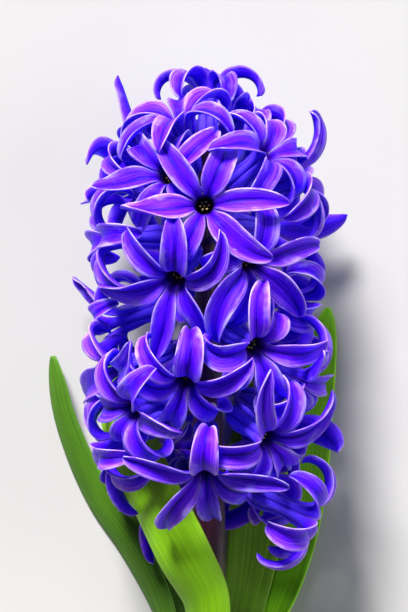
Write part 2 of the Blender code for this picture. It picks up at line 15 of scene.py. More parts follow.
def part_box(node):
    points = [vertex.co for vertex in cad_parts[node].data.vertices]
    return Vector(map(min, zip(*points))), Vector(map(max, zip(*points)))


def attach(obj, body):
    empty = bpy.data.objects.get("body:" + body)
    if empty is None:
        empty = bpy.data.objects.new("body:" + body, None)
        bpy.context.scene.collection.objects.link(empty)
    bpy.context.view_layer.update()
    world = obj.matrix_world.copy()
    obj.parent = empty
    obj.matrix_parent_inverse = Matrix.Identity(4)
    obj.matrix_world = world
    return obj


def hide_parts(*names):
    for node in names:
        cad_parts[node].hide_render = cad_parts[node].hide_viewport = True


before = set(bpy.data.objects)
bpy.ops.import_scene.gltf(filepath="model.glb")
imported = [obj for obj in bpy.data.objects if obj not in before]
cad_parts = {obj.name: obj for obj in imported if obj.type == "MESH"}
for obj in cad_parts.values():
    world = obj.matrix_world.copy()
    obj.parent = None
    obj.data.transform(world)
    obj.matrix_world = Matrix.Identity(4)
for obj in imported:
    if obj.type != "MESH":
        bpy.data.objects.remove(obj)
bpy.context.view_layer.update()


# ---------------------------------------------------------------------------------------------------
# Leaves. Five fleshy straps, channelled, with blunt hooded tips. They clasp the stem in two layers at
# the neck, where one cut went through all of them, so their ends show paler flesh.
# ---------------------------------------------------------------------------------------------------

LEAF_THICKNESS = 1.7
# (y, x, z, width, roll in degrees, radius of the channel): with no roll the hollow side faces up.
LEAVES = {
    "leaf_front": (
        (-85, -4.4, 12.6, 14.5, 130, 5.7),
        (-68, -3.6, 18.6, 14, 146, 7),
        (-52.8, -2, 27, 14.6, 168, 9),
        (-40, -8, 34, 16.6, 158, 13),
        (-28, -14.6, 32.4, 18.8, 142, 18),
        (-18, -19.6, 25.6, 19, 140, 22),
        (-7.8, -23, 19, 18, 142, 22),
        (3, -25.6, 16, 14.6, 146, 20),
        (13, -27.2, 14, 9, 150, 16),
    ),
    "leaf_left": (
        (-85, -7.8, 8.9, 9.4, 90, 7.75),
        (-70, -9.8, 6.8, 9.8, 106, 9),
        (-54.4, -14.4, 4.8, 10.2, 134, 12),
        (-40, -21.8, 4, 10.4, 142, 14),
        (-28.9, -29.4, 3.9, 10.2, 142, 14),
        (-15, -36.2, 4, 9.2, 140, 13),
        (-3, -40.2, 4.3, 7.8, 138, 12),
        (5, -41.6, 4.6, 6.8, 136, 11),
        (11, -42.3, 4.9, 5.6, 134, 10),
    ),
    "leaf_left_back": (
        (-85, -2.7, 1.7, 8.9, 20, 7.75),
        (-68, -5.4, 1.1, 8.4, 12, 11),
        (-54, -9.2, 0.9, 8.4, 0, 18),
        (-42, -13.6, 0.9, 9.4, 0, 24),
        (-30, -18.8, 0.9, 9.6, 0, 24),
        (-20, -22.6, 0.9, 8.2, 0, 20),
        (-12, -25, 1, 6.5, 0, 16),
    ),
    "leaf_back": (
        (-85, 2.8, 3.96, 12, -30, 5.7),
        (-68, 6.2, 2.7, 12, -16, 9),
        (-54, 9.4, 1.2, 12.2, 0, 18),
        (-41.6, 11.4, 0.65, 14.2, 0, 26),
        (-27, 12.6, 0.65, 16, 0, 30),
        (-14, 12.7, 0.65, 15.6, 0, 28),
        (-3, 12.8, 0.8, 12, 0, 22),
        (6, 12.9, 1, 8.5, 0, 16),
    ),
    "leaf_right": (
        (-85, 7.7, 8.9, 9.6, -90, 7.75),
        (-70, 12.4, 6.4, 9.4, -72, 9),
        (-53, 20.2, 3, 9.4, -40, 11),
        (-38, 24.2, 1.6, 9.6, -16, 14),
        (-22, 26.8, 1, 9.8, -8, 18),
        (-6, 28.2, 1, 9.6, -5, 18),
        (10, 29.8, 1, 8.4, -5, 16),
        (24, 31.7, 1.1, 6, -5, 14),
    ),
}


def unit(v):
    """Each vector over its own length."""
    return v / np.linalg.norm(v, axis=-1, keepdims=True)


def smooth(x):
    """0 below 0, 1 above 1, and 3x^2 - 2x^3 between."""
    x = np.clip(x, 0.0, 1.0)
    return x * x * (3.0 - 2.0 * x)


def curve_at(knots, values, at):
    """Cubic curve through the values at the knots, with slopes from the neighbours on both sides."""
    slopes = np.gradient(values, knots)
    n = np.clip(np.searchsorted(knots, at) - 1, 0, len(knots) - 2)
    gap = knots[n + 1] - knots[n]
    u = (at - knots[n]) / gap
    ends = values[n] * (1 + 2 * u) * (1 - u) ** 2 + values[n + 1] * u**2 * (3 - 2 * u)
    return ends + gap * (slopes[n] * u * (1 - u) ** 2 - slopes[n + 1] * u**2 * (1 - u))


def leaf_surface(rows, stations, segments):
    """Points (stations, 2 x segments, 3) round a strap blade, and how far along each station is.

    Across, the blade is an arc of a circle whose radius opens from the neck upwards. Its thickness is
    that of an ellipse across the arc. At share s of its length the width loses the factor
    sqrt(1 - 0.97 ((s - 0.88) / 0.12)^2.2), which makes the blunt tip. What would lie below the surface
    is pressed flat on it.
    """
    rows = np.array(rows)
    lengths = np.concatenate([[0.0], np.cumsum(np.linalg.norm(np.diff(rows[:, :3], axis=0), axis=1))])
    share = 1.0 - (1.0 - np.linspace(0.0, 1.0, stations)) ** 1.4
    y, x, z, width, roll, radius = (curve_at(lengths, column, share * lengths[-1]) for column in rows.T)
    width = width * np.sqrt(1.0 - 0.97 * np.clip((share - 0.88) / 0.12, 0.0, 1.0) ** 2.2)
    line = np.stack([x, y, z], 1)
    tangent = unit(np.gradient(line, axis=0))
    front = unit(np.array([0.0, 0.0, 1.0]) - tangent * tangent[:, 2:])
    right = np.cross(tangent, front)
    angle = np.radians(roll)[:, None]
    inner = front * np.cos(angle) + right * np.sin(angle)
    across = np.cross(tangent, inner)
    sweep = np.linspace(-1.0, 1.0, segments + 1)
    sweep = np.concatenate([sweep, sweep[-2:0:-1]])
    side = np.where(np.arange(2 * segments) <= segments, 1.0, -1.0)
    end = np.where(np.arange(stations) == stations - 1, 0.55, 1.0)[:, None]
    thick = side * LEAF_THICKNESS / 2 * end * np.sqrt(np.maximum(1.0 - sweep**2, 0.0))
    reach = radius[:, None] - thick
    a = sweep * np.minimum(width / (2.0 * radius), 1.55)[:, None]
    rise = (radius[:, None] - reach * np.cos(a))[..., None]
    points = line[:, None] + inner[:, None] * rise + across[:, None] * (reach * np.sin(a))[..., None]
    points[..., 2] = np.maximum(points[..., 2], 0.0)
    return points, share


def grid_quads(rows, cols, wrap=False):
    """Corner numbers of the quads between a grid's points, row by row. A wrapped grid closes on itself."""
    r, c = np.meshgrid(np.arange(rows - 1), np.arange(cols if wrap else cols - 1), indexing="ij")
    right = (c + 1) % cols
    quads = np.stack([r * cols + c, (r + 1) * cols + c, (r + 1) * cols + right, r * cols + right], -1)
    return quads.reshape(-1, 4)


# The leaf that lies furthest left tells where the row frame's origin is.
coarse_left, _ = leaf_surface(LEAVES["leaf_left"], 12, 6)
SHIFT = np.array(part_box("leaf_left")[0]) * 1000.0 - coarse_left.reshape(-1, 3).min(0)
SHIFT[2] = 0.0


def make_piece(name, points, faces, materials, corners, merge=1e-6, kinds=None, marks=(), flip=False):
    """A mesh object from points in millimetres; points nearer than merge, in metres, become one.

    corners holds (u, v) for each point and becomes the UV map. marks are (name, value of each point),
    and kinds is the number of each face's material.
    """
    faces = [list(dict.fromkeys(face)) for face in faces.tolist()]
    mesh = bpy.data.meshes.new(name)
    mesh.from_pydata(((points + SHIFT) * 0.001).tolist(), [], faces)
    if corners is not None:
        layer = mesh.uv_layers.new(name="along")
        numbers = np.empty(len(mesh.loops), np.int32)
        mesh.loops.foreach_get("vertex_index", numbers)
        layer.data.foreach_set("uv", corners[numbers].astype(np.float32).ravel())
    for mark, values in marks:
        mesh.attributes.new(mark, "FLOAT", "POINT").data.foreach_set("value", values.astype(np.float32))
    if kinds is not None:
        mesh.polygons.foreach_set("material_index", np.asarray(kinds, np.int32))
    shape = bmesh.new()
    shape.from_mesh(mesh)
    bmesh.ops.remove_doubles(shape, verts=shape.verts, dist=merge)
    bmesh.ops.dissolve_degenerate(shape, edges=shape.edges, dist=merge)
    if flip:
        bmesh.ops.reverse_faces(shape, faces=shape.faces)
    shape.to_mesh(mesh)
    shape.free()
    mesh.polygons.foreach_set("use_smooth", np.ones(len(mesh.polygons), bool))
    for material in materials:
        mesh.materials.append(material)
    obj = bpy.data.objects.new(name, mesh)
    bpy.context.scene.collection.objects.link(obj)
    return obj


class Nodes:
    """Short names for the node wiring of one material with a Principled shader."""

    def __init__(self, name, **sockets):
        self.material = bpy.data.materials.new(name)
        self.material.use_nodes = True
        self.tree = self.material.node_tree
        self.shader = self.tree.nodes["Principled BSDF"]
        for key, value in sockets.items():
            self.shader.inputs[key.replace("_", " ")].default_value = value

    def add(self, kind, links=(), **settings):
        """A node with its settings. links gives each input a value or another node's socket."""
        node = self.tree.nodes.new(kind)
        for key, value in settings.items():
            setattr(node, key, value)
        for key, value in dict(links).items():
            if isinstance(value, bpy.types.NodeSocket):
                self.tree.links.new(value, node.inputs[key])
            else:
                node.inputs[key].default_value = value
        return node

    def math(self, operation, a, b=0.0, clamp=False):
        """a and b taken together by one operation, kept between 0 and 1 if clamp is set."""
        return self.add("ShaderNodeMath", {0: a, 1: b}, operation=operation, use_clamp=clamp).outputs[0]

    def noisy(self, value, noise, by):
        """value moved up or down by noise, whose middle is a half."""
        return self.math("ADD", value, self.math("MULTIPLY", self.math("SUBTRACT", noise, 0.5), by))

    def line(self, value, slope, start):
        """slope times value, plus start."""
        return self.math("ADD", self.math("MULTIPLY", value, slope), start)

    def edge(self, u):
        """0 on the midline and 1 at either margin."""
        return self.math("ABSOLUTE", self.math("SUBTRACT", self.math("MULTIPLY", u, 2.0), 1.0))

    def ramp(self, value, stops):
        """A colour, or a grey given as one number, for each position along value, blended between."""
        node = self.add("ShaderNodeValToRGB", {0: value})
        band = node.color_ramp
        while len(band.elements) < len(stops):
            band.elements.new(0.5)
        for element, (at, colour) in zip(band.elements, stops):
            element.position = at
            element.color = (*colour, 1.0) if isinstance(colour, tuple) else (colour, colour, colour, 1.0)
        return node.outputs[0]

    def mix(self, share, a, b, blend="MIX"):
        """Colour a with as much of b over it as share says."""
        node = self.add("ShaderNodeMix", {0: share}, data_type="RGBA", blend_type=blend)
        for key, value in ((6, a), (7, b)):
            if isinstance(value, bpy.types.NodeSocket):
                self.tree.links.new(value, node.inputs[key])
            else:
                node.inputs[key].default_value = (*value, 1.0)
        return node.outputs[2]

    def along(self):
        """(u, v) of the piece's own map: u across, v along."""
        place = self.add("ShaderNodeUVMap", uv_map="along").outputs[0]
        split = self.add("ShaderNodeSeparateXYZ", {0: place})
        return split.outputs[0], split.outputs[1]

    def streaks(self, u, v, across, lengthwise, detail=2.0):
        """Noise stretched along v: across and lengthwise are its scales. From 0 to 1."""
        scaled = {0: self.math("MULTIPLY", u, across), 1: self.math("MULTIPLY", v, lengthwise)}
        return self.noise(self.add("ShaderNodeCombineXYZ", scaled).outputs[0], 1.0, detail)

    def patches(self, scale):
        """Noise in the object's own space: scale is patches per metre."""
        return self.noise(self.add("ShaderNodeTexCoord").outputs["Object"], scale, 3.0)

    def noise(self, place, scale, detail):
        """Soft noise from 0 to 1 at a place."""
        sockets = {"Vector": place, "Scale": scale, "Detail": detail}
        return self.add("ShaderNodeTexNoise", sockets).outputs[0]

    def link(self, key, value):
        """Feeds value to the shader's own socket key."""
        self.tree.links.new(value, self.shader.inputs[key])

    def finished(self, colour, height, strength, distance):
        """The material with its colour, and with a fine relief from height."""
        relief = {"Height": height, "Strength": strength, "Distance": distance}
        self.link("Base Color", colour)
        self.link("Normal", self.add("ShaderNodeBump", relief).outputs[0])
        return self.material


def leaf_material(name, pale, body, deep):
    """Smooth leaf skin: parallel veins as faint stripes, paler margins, a soft waxy gloss."""
    n = Nodes(name, Subsurface_Weight=0.12, Subsurface_Scale=0.0012, Specular_IOR_Level=0.32)
    n.shader.inputs["Subsurface Radius"].default_value = (0.5, 1.0, 0.15)
    u, v = n.along()
    fine = n.streaks(u, v, 70.0, 3.0)
    broad = n.streaks(u, v, 16.0, 1.2)
    stripes = n.math("ADD", n.math("MULTIPLY", fine, 0.55), n.math("MULTIPLY", broad, 0.45))
    colour = n.ramp(stripes, [(0.36, deep), (0.5, body), (0.64, pale)])
    rim = n.ramp(n.edge(u), [(0.0, 0.0), (0.9, 0.0), (1.0, 0.6)])
    colour = n.mix(rim, colour, tuple(min(1.0, 1.6 * c + 0.05) for c in pale))
    cloud = n.ramp(n.patches(45.0), [(0.35, (0.78, 0.8, 0.72)), (0.65, (1.1, 1.08, 1.0))])
    n.link("Roughness", n.line(fine, 0.2, 0.46))
    return n.finished(n.mix(1.0, colour, cloud, "MULTIPLY"), stripes, 0.35, 0.0004)


def cut_material(name, flesh, bundles):
    """A fresh cut across plant flesh: wet, pale, with darker bundles."""
    n = Nodes(name, Roughness=0.3, Subsurface_Weight=0.2, Subsurface_Scale=0.001)
    colour = n.ramp(n.patches(1400.0), [(0.42, bundles), (0.56, flesh)])
    return n.finished(colour, n.patches(2200.0), 0.3, 0.0002)


# Each leaf's green: its pale stripes, its body and its deep stripes. The leaves differ partly by painted
# light and shade: leaf_left_back is painted dark as a leaf lying in shade, and leaf_right is painted
# brighter to make up for the flower's shadow on it.
LEAF_GREENS_LIT_AND_SHADED = {
    "leaf_front": ((0.31, 0.68, 0.005), (0.26, 0.61, 0.004), (0.21, 0.52, 0.003)),
    "leaf_left": ((0.100, 0.26, 0.007), (0.066, 0.20, 0.005), (0.036, 0.13, 0.003)),
    "leaf_left_back": ((0.10, 0.25, 0.015), (0.065, 0.18, 0.01), (0.035, 0.11, 0.006)),
    "leaf_back": ((0.21, 0.43, 0.012), (0.14, 0.32, 0.008), (0.080, 0.20, 0.005)),
    "leaf_right": ((0.27, 0.72, 0.008), (0.20, 0.60, 0.006), (0.12, 0.44, 0.004)),
}
leaf_cut = cut_material("leaf cut", (0.55, 0.68, 0.30), (0.36, 0.52, 0.16))

# All leaves have the same faces: the skin round the blade, the cut at the neck, and the tip's end.
stations, segments = 90, 26
count = 2 * segments
across = np.concatenate([np.linspace(0, 1, segments + 1), np.linspace(1, 0, segments + 1)[1:-1]])
skin = grid_quads(stations, count, wrap=True)
pair = np.arange(segments)
neck = np.stack([pair, pair + 1, (count - pair - 1) % count, (count - pair) % count], 1)
faces = np.concatenate([skin, neck, neck[:, ::-1] + (stations - 1) * count])
kinds = np.concatenate([np.zeros(len(skin)), np.ones(segments), np.zeros(segments)])

for name, rows in LEAVES.items():
    points, share = leaf_surface(rows, stations, segments)
    corners = np.stack(np.broadcast_arrays(across[None], share[:, None]), -1).reshape(-1, 2)
    skins = [leaf_material(name + " skin", *LEAF_GREENS_LIT_AND_SHADED[name]), leaf_cut]
    leaf = make_piece(name + "_blade", points.reshape(-1, 3), faces, skins, corners, kinds=kinds)
    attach(leaf, "root")
    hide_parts(name)


# ---------------------------------------------------------------------------------------------------
# Stem. A juicy scape, plum-brown in the raceme and greener towards the cut. A pedicel leaves it for
# each floret, in a golden-angle spiral, with a small pale bract at its foot.
# ---------------------------------------------------------------------------------------------------

SEED = 8
NECK_Y, TIP_Y = -85.0, 68.0
NECK_HEIGHT, RACEME_HEIGHT = 8.9, 32.0
RACEME_Y, RACEME_RISE = -20.0, 0.035
SCAPE_SIDE, SCAPE_LEAN = -0.9, -0.01
SCAPE_RADII = (4.4, 4.1, 2.1)

FLORETS, FRONT = 34, 24
UNGROWN = (1, 5)
DIVERGENCE = math.radians(137.5)
LOWER_PITCH, FRONT_Y, CROWN_LENGTH = 3.25, 49.0, 11.5
# Florets that lean out of the spiral: mm along the scape, degrees round it and degrees of lift.
LEANS = {
    0: (8, 22, 8),
    2: (7, 2, 14),
    3: (18.9, -12, -16),
    4: (1, -24, 8),
    6: (13.8, 0, 17),
    8: (2.7, 0, 8),
    9: (-2.5, 3, 3),
    11: (13, -4, -17),
    16: (-1.5, 9, -3),
    19: (10, 14, -20),
    21: (2.6, -27, -8),
    26: (-3, 0, 0),
    27: (-2.5, 28, -12),
    29: (-5, 17, -14),
    30: (-5, -8, -18),
    31: (-3, 16, -6),
    32: (-6, -10, 0),
    33: (0, -28, 0),
}
# How far a floret strays by chance, in degrees round the stem and of lift.
ROUND_STRAY, LIFT_STRAY = 3.0, 4.0
# The top florets are smaller than the lower ones by this share.
CROWN_SHRINK = 0.08
PEDICEL, PEDICEL_RADIUS = 6.0, 1.1
GAP = 0.3


def scape_point(y):
    """The scape's centre line at y: up from the neck by 3x^2 - 2x^3, then nearly level in the raceme."""
    bend = smooth((y - NECK_Y) / (RACEME_Y - NECK_Y))
    height = NECK_HEIGHT + (RACEME_HEIGHT - NECK_HEIGHT) * bend + RACEME_RISE * max(y - RACEME_Y, 0.0)
    return np.array([SCAPE_SIDE + SCAPE_LEAN * y, y, height])


def scape_frame(y):
    """(tangent, front, right) of the scape at y: front is the side that faces up."""
    tangent = unit(scape_point(y + 0.5) - scape_point(y - 0.5))
    front = unit(np.array([0.0, 0.0, 1.0]) - tangent * tangent[2])
    return tangent, front, np.cross(tangent, front)


def scape_radius(y):
    """The scape's radius, in straight lines between neck, foot of the raceme and tip."""
    return float(np.interp(y, (NECK_Y, RACEME_Y, TIP_Y), SCAPE_RADII))


def floret_lift(n):
    """Degrees that a floret points up the scape: -36 for the lowest, 2 by the front one, 74 at the top."""
    if n < FRONT:
        return -36.0 + 38.0 * (n / FRONT) ** 1.5
    return 4.0 + 70.0 * ((n - FRONT) / (FLORETS - 1 - FRONT)) ** 0.9


def floret_places():
    """Each floret's place: where it joins the scape, which way it points, its own axes and its size."""
    rng = np.random.default_rng(SEED)
    places = []
    for n in range(FLORETS):
        if n in UNGROWN:
            continue
        above = n - FRONT
        if above <= 0:
            y = FRONT_Y + LOWER_PITCH * above
        else:
            share = above / (FLORETS - 1 - FRONT)
            y = FRONT_Y + CROWN_LENGTH * (1.6 * share - 0.6 * share**2)
        along, around, more = LEANS.get(n, (0.0, 0.0, 0.0))
        y += along
        azimuth = -DIVERGENCE * above + math.radians(around + rng.uniform(-ROUND_STRAY, ROUND_STRAY))
        lift = math.radians(floret_lift(n) + more + rng.uniform(-LIFT_STRAY, LIFT_STRAY))
        tangent, front, right = scape_frame(y)
        outward = math.cos(azimuth) * front + math.sin(azimuth) * right
        axis = math.cos(lift) * outward + math.sin(lift) * tangent
        up = unit(tangent - axis * (tangent @ axis))
        size = 1.0 - CROWN_SHRINK * smooth((n - FRONT + 3) / 14.0)
        base = scape_point(y) + outward * (scape_radius(y) + 1.0) + axis * PEDICEL * size
        places.append(
            {
                "number": n,
                "root": scape_point(y),
                "base": base,
                "outward": outward,
                "axis": axis,
                "up": up,
                "side": np.cross(up, axis),
                "size": size,
            }
        )
    return places


def tube_rings(line, radii, sides, ridges=None):
    """Points (stations, sides, 3) of rings round a line. ridges multiplies the radius round each ring.

    A point lies at line + r (u cos a + v sin a), where u and v are square to the line. The rings turn as
    little as they can from one to the next, because each takes its u from the last.
    """
    line = np.asarray(line)
    tangents = unit(np.gradient(line, axis=0))
    hint = np.array([1.0, 0.0, 0.0])
    firsts = []
    for tangent in tangents:
        if abs(tangent @ hint) > 0.95:
            hint = np.array([0.0, 0.0, 1.0])
        hint = unit(hint - tangent * (hint @ tangent))
        firsts.append(hint)
    u = np.array(firsts)
    v = np.cross(tangents, u)
    angle = math.tau * np.arange(sides) / sides
    swell = np.ones(sides) if ridges is None else ridges(angle)
    r = np.asarray(radii)[:, None, None] * swell[None, :, None]
    radial = np.cos(angle)[None, :, None] * u[:, None] + np.sin(angle)[None, :, None] * v[:, None]
    return line[:, None] + radial * r


def pedicel_line(place, count):
    """Points along a pedicel: a quadratic curve that leaves the scape and ends along the floret's axis."""
    end = place["base"] - place["axis"] * GAP
    start = place["root"] + place["outward"] * 0.5
    control = end - place["axis"] * PEDICEL * 0.8 * place["size"]
    t = np.linspace(0.0, 1.0, count)[:, None]
    return (1 - t) ** 2 * start + 2 * t * (1 - t) * control + t**2 * end


def join(parts):
    """One set of points, quads and corners from several (points, quads, corners)."""
    starts = np.cumsum([0] + [len(p) for p, _, _ in parts[:-1]])
    return (
        np.concatenate([p for p, _, _ in parts]),
        np.concatenate([q + s for (_, q, _), s in zip(parts, starts)]),
        np.concatenate([c for _, _, c in parts]),
    )


def rings_part(rings):
    """(points, quads, corners) of a run of rings whose last ring closes on its own middle."""
    rows, sides = rings.shape[:2]
    rings = np.concatenate([rings, np.repeat(rings[-1:].mean(1, keepdims=True), sides, 1)])
    v = np.concatenate([np.linspace(0.0, 1.0, rows), [1.0]])
    u = np.arange(sides) / sides
    corners = np.stack(np.broadcast_arrays(u[None], v[:, None]), -1)
    return rings.reshape(-1, 3), grid_quads(rows + 1, sides, wrap=True), corners.reshape(-1, 2)


def scape_ridges(angle):
    """Shallow lengthwise ribs: two waves round the stem."""
    return 1.0 + 0.018 * np.cos(7 * angle) + 0.012 * np.cos(12 * angle + 0.6)


def stem_material():
    """Stem skin: plum in the raceme, green below it, with fine lengthwise lines and a dull bloom."""
    n = Nodes("stem skin", Roughness=0.42, Subsurface_Weight=0.08, Subsurface_Scale=0.001)
    u, v = n.along()
    lines = n.streaks(u, v, 60.0, 6.0)
    plums = [(0.35, (0.018, 0.002, 0.012)), (0.6, (0.060, 0.006, 0.030)), (0.75, (0.10, 0.02, 0.05))]
    plum = n.ramp(lines, plums)
    green = n.ramp(lines, [(0.35, (0.05, 0.08, 0.012)), (0.6, (0.12, 0.17, 0.03))])
    share = n.ramp(n.noisy(v, n.patches(60.0), 0.25), [(0.16, 0.0), (0.34, 1.0)])
    return n.finished(n.mix(share, green, plum), lines, 0.3, 0.0003)


def pedicel_material():
    """Pedicel skin: plum at the stem, turning the tube's violet-blue at its far end."""
    n = Nodes("pedicel skin", Roughness=0.45, Subsurface_Weight=0.1, Subsurface_Scale=0.001)
    u, v = n.along()
    lines = n.streaks(u, v, 24.0, 5.0)
    stops = [(0.1, (0.045, 0.006, 0.04)), (0.55, (0.06, 0.010, 0.16)), (0.95, (0.09, 0.03, 0.55))]
    shade = n.ramp(lines, [(0.3, 0.6), (0.7, (1.25, 1.2, 1.2))])
    return n.finished(n.mix(1.0, n.ramp(v, stops), shade, "MULTIPLY"), lines, 0.3, 0.0002)


stem_skin = stem_material()
stem_cut = cut_material("stem cut", (0.50, 0.60, 0.28), (0.30, 0.40, 0.16))
places = floret_places()

STEM_SIDES = 40
ys = np.linspace(NECK_Y, TIP_Y, 110)
line = np.array([scape_point(y) for y in ys])
radii = np.interp(ys, (NECK_Y, RACEME_Y, TIP_Y), SCAPE_RADII)
# Its last six rings follow an ellipse, which rounds the tip.
radii[-6:] *= np.sqrt(1.0 - np.linspace(0.0, 0.97, 6) ** 2)
rings = tube_rings(line, radii, STEM_SIDES, scape_ridges)
points, quads, corners = rings_part(rings)
stem = make_piece("stem", points, quads, [stem_skin], corners, flip=True)
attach(stem, "root")
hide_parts("scape")

# The cut: a shallow dish of wet flesh inside the skin.
shares = np.array([1.0, 0.93, 0.6, 0.3, 0.0])
depth = np.array([0.0, 0.35, 0.5, 0.55, 0.6])
rim = rings[0] - line[0]
dish = line[0] + rim[None] * shares[:, None, None] + unit(line[1] - line[0]) * depth[:, None, None]
quads = grid_quads(len(shares), STEM_SIDES, wrap=True)
cut = make_piece("stem_cut", dish.reshape(-1, 3), quads, [stem_cut], None)
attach(cut, "root")

# Each pedicel swells at its foot and again under the floret.
PEDICEL_ROWS, PEDICEL_SIDES = 16, 14
t = np.linspace(0.0, 1.0, PEDICEL_ROWS)
radii = PEDICEL_RADIUS * (0.82 + 0.55 * (1 - smooth(t / 0.3)) + 0.42 * smooth((t - 0.72) / 0.28))
lines = [pedicel_line(place, PEDICEL_ROWS) for place in places]
points, quads, corners = join([rings_part(tube_rings(line, radii, PEDICEL_SIDES)) for line in lines])
pedicels = make_piece("pedicels", points, quads, [pedicel_material()], corners, flip=True)
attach(pedicels, "root")

BRACT_LENGTH, BRACT_WIDTH, BRACT_THICKNESS = 3.4, 1.3, 0.24
BRACT_ROWS, BRACT_SIDES = 10, 12


def bract_surface(place, rng):
    """Points (BRACT_ROWS, BRACT_SIDES, 3) round one bract: a narrow scale beside the pedicel's foot.

    Its middle line leaves the stem outwards and bends up the stem along a circle. Its section is a flat
    ellipse whose width follows sqrt(1 - (2t - 0.7)^2) and runs out to a point.
    """
    t = np.linspace(0.0, 1.0, BRACT_ROWS)
    hand = rng.choice((-1.0, 1.0))
    outward, side, up = place["outward"], place["side"], np.cross(place["outward"], place["side"])
    bend = rng.uniform(0.5, 1.6) * t
    reach = BRACT_LENGTH * rng.uniform(0.75, 1.15)
    start = place["root"] + outward * (scape_radius(place["root"][1]) - 0.35) + side * hand * 1.5
    line = start + reach * t[:, None] * (np.cos(bend)[:, None] * outward - np.sin(bend)[:, None] * up)
    width = BRACT_WIDTH / 2 * np.sqrt(np.maximum(1.0 - np.clip(2.0 * t - 0.7, -0.7, 1.0) ** 2, 0.0)) + 0.02
    angle = math.tau * np.arange(BRACT_SIDES) / BRACT_SIDES
    tangent = unit(np.gradient(line, axis=0))
    normal = np.cross(tangent, side)
    flat = np.cos(angle)[None, :, None] * side * width[:, None, None]
    depth = (width * BRACT_THICKNESS / BRACT_WIDTH)[:, None, None]
    return line[:, None] + flat + np.sin(angle)[None, :, None] * normal[:, None] * depth


def bract_material():
    """Bract skin: thin and papery, cream with a lilac flush towards its foot."""
    n = Nodes("bract skin", Roughness=0.55, Subsurface_Weight=0.3, Subsurface_Scale=0.001)
    u, v = n.along()
    lines = n.streaks(u, v, 14.0, 2.0)
    colour = n.ramp(v, [(0.0, (0.20, 0.08, 0.30)), (0.4, (0.50, 0.42, 0.50)), (1.0, (0.62, 0.58, 0.40))])
    shade = n.ramp(lines, [(0.3, (0.6, 0.55, 0.6)), (0.7, (1.2, 1.2, 1.1))])
    return n.finished(n.mix(0.7, colour, shade, "MULTIPLY"), lines, 0.4, 0.0001)


rng = np.random.default_rng(SEED + 4)
points, quads, corners = join([rings_part(bract_surface(place, rng)) for place in places])
bracts = make_piece("bracts", points, quads, [bract_material()], corners)
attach(bracts, "root")


# ---------------------------------------------------------------------------------------------------
# Florets. Each is a fleshy tube with six lengthwise grooves that splits into six tepals. The tepals are
# thick, channelled and waxy; they flare, curl back and bend out of each other's way.
# ---------------------------------------------------------------------------------------------------

TUBE_LENGTH = 14.5
BASE_RADIUS, BELLY_RADIUS, WAIST_RADIUS, MOUTH_RADIUS = 1.5, 3.1, 2.3, 2.9
BELLY_HEIGHT, WAIST_HEIGHT, THROAT_DEPTH = 3.6, 9.0, 3.0
# The tepals' middle lines leave the mouth on this circle, leaning outwards by so many radians.
ROOT_RADIUS, ROOT_LEAN = MOUTH_RADIUS * 0.86, 0.12
TEPALS = 6
TEPAL_LENGTH, TEPAL_WIDTH, TEPAL_THICKNESS = 21.5, 6.4, 0.9
ROOT_WIDTH, CHANNEL = 0.46, 0.23
BREADTHS = (0.92, 1.1)
TEPAL_STEPS = 24
TEPAL_STATIONS = (4, 8, 12, 16, 20)
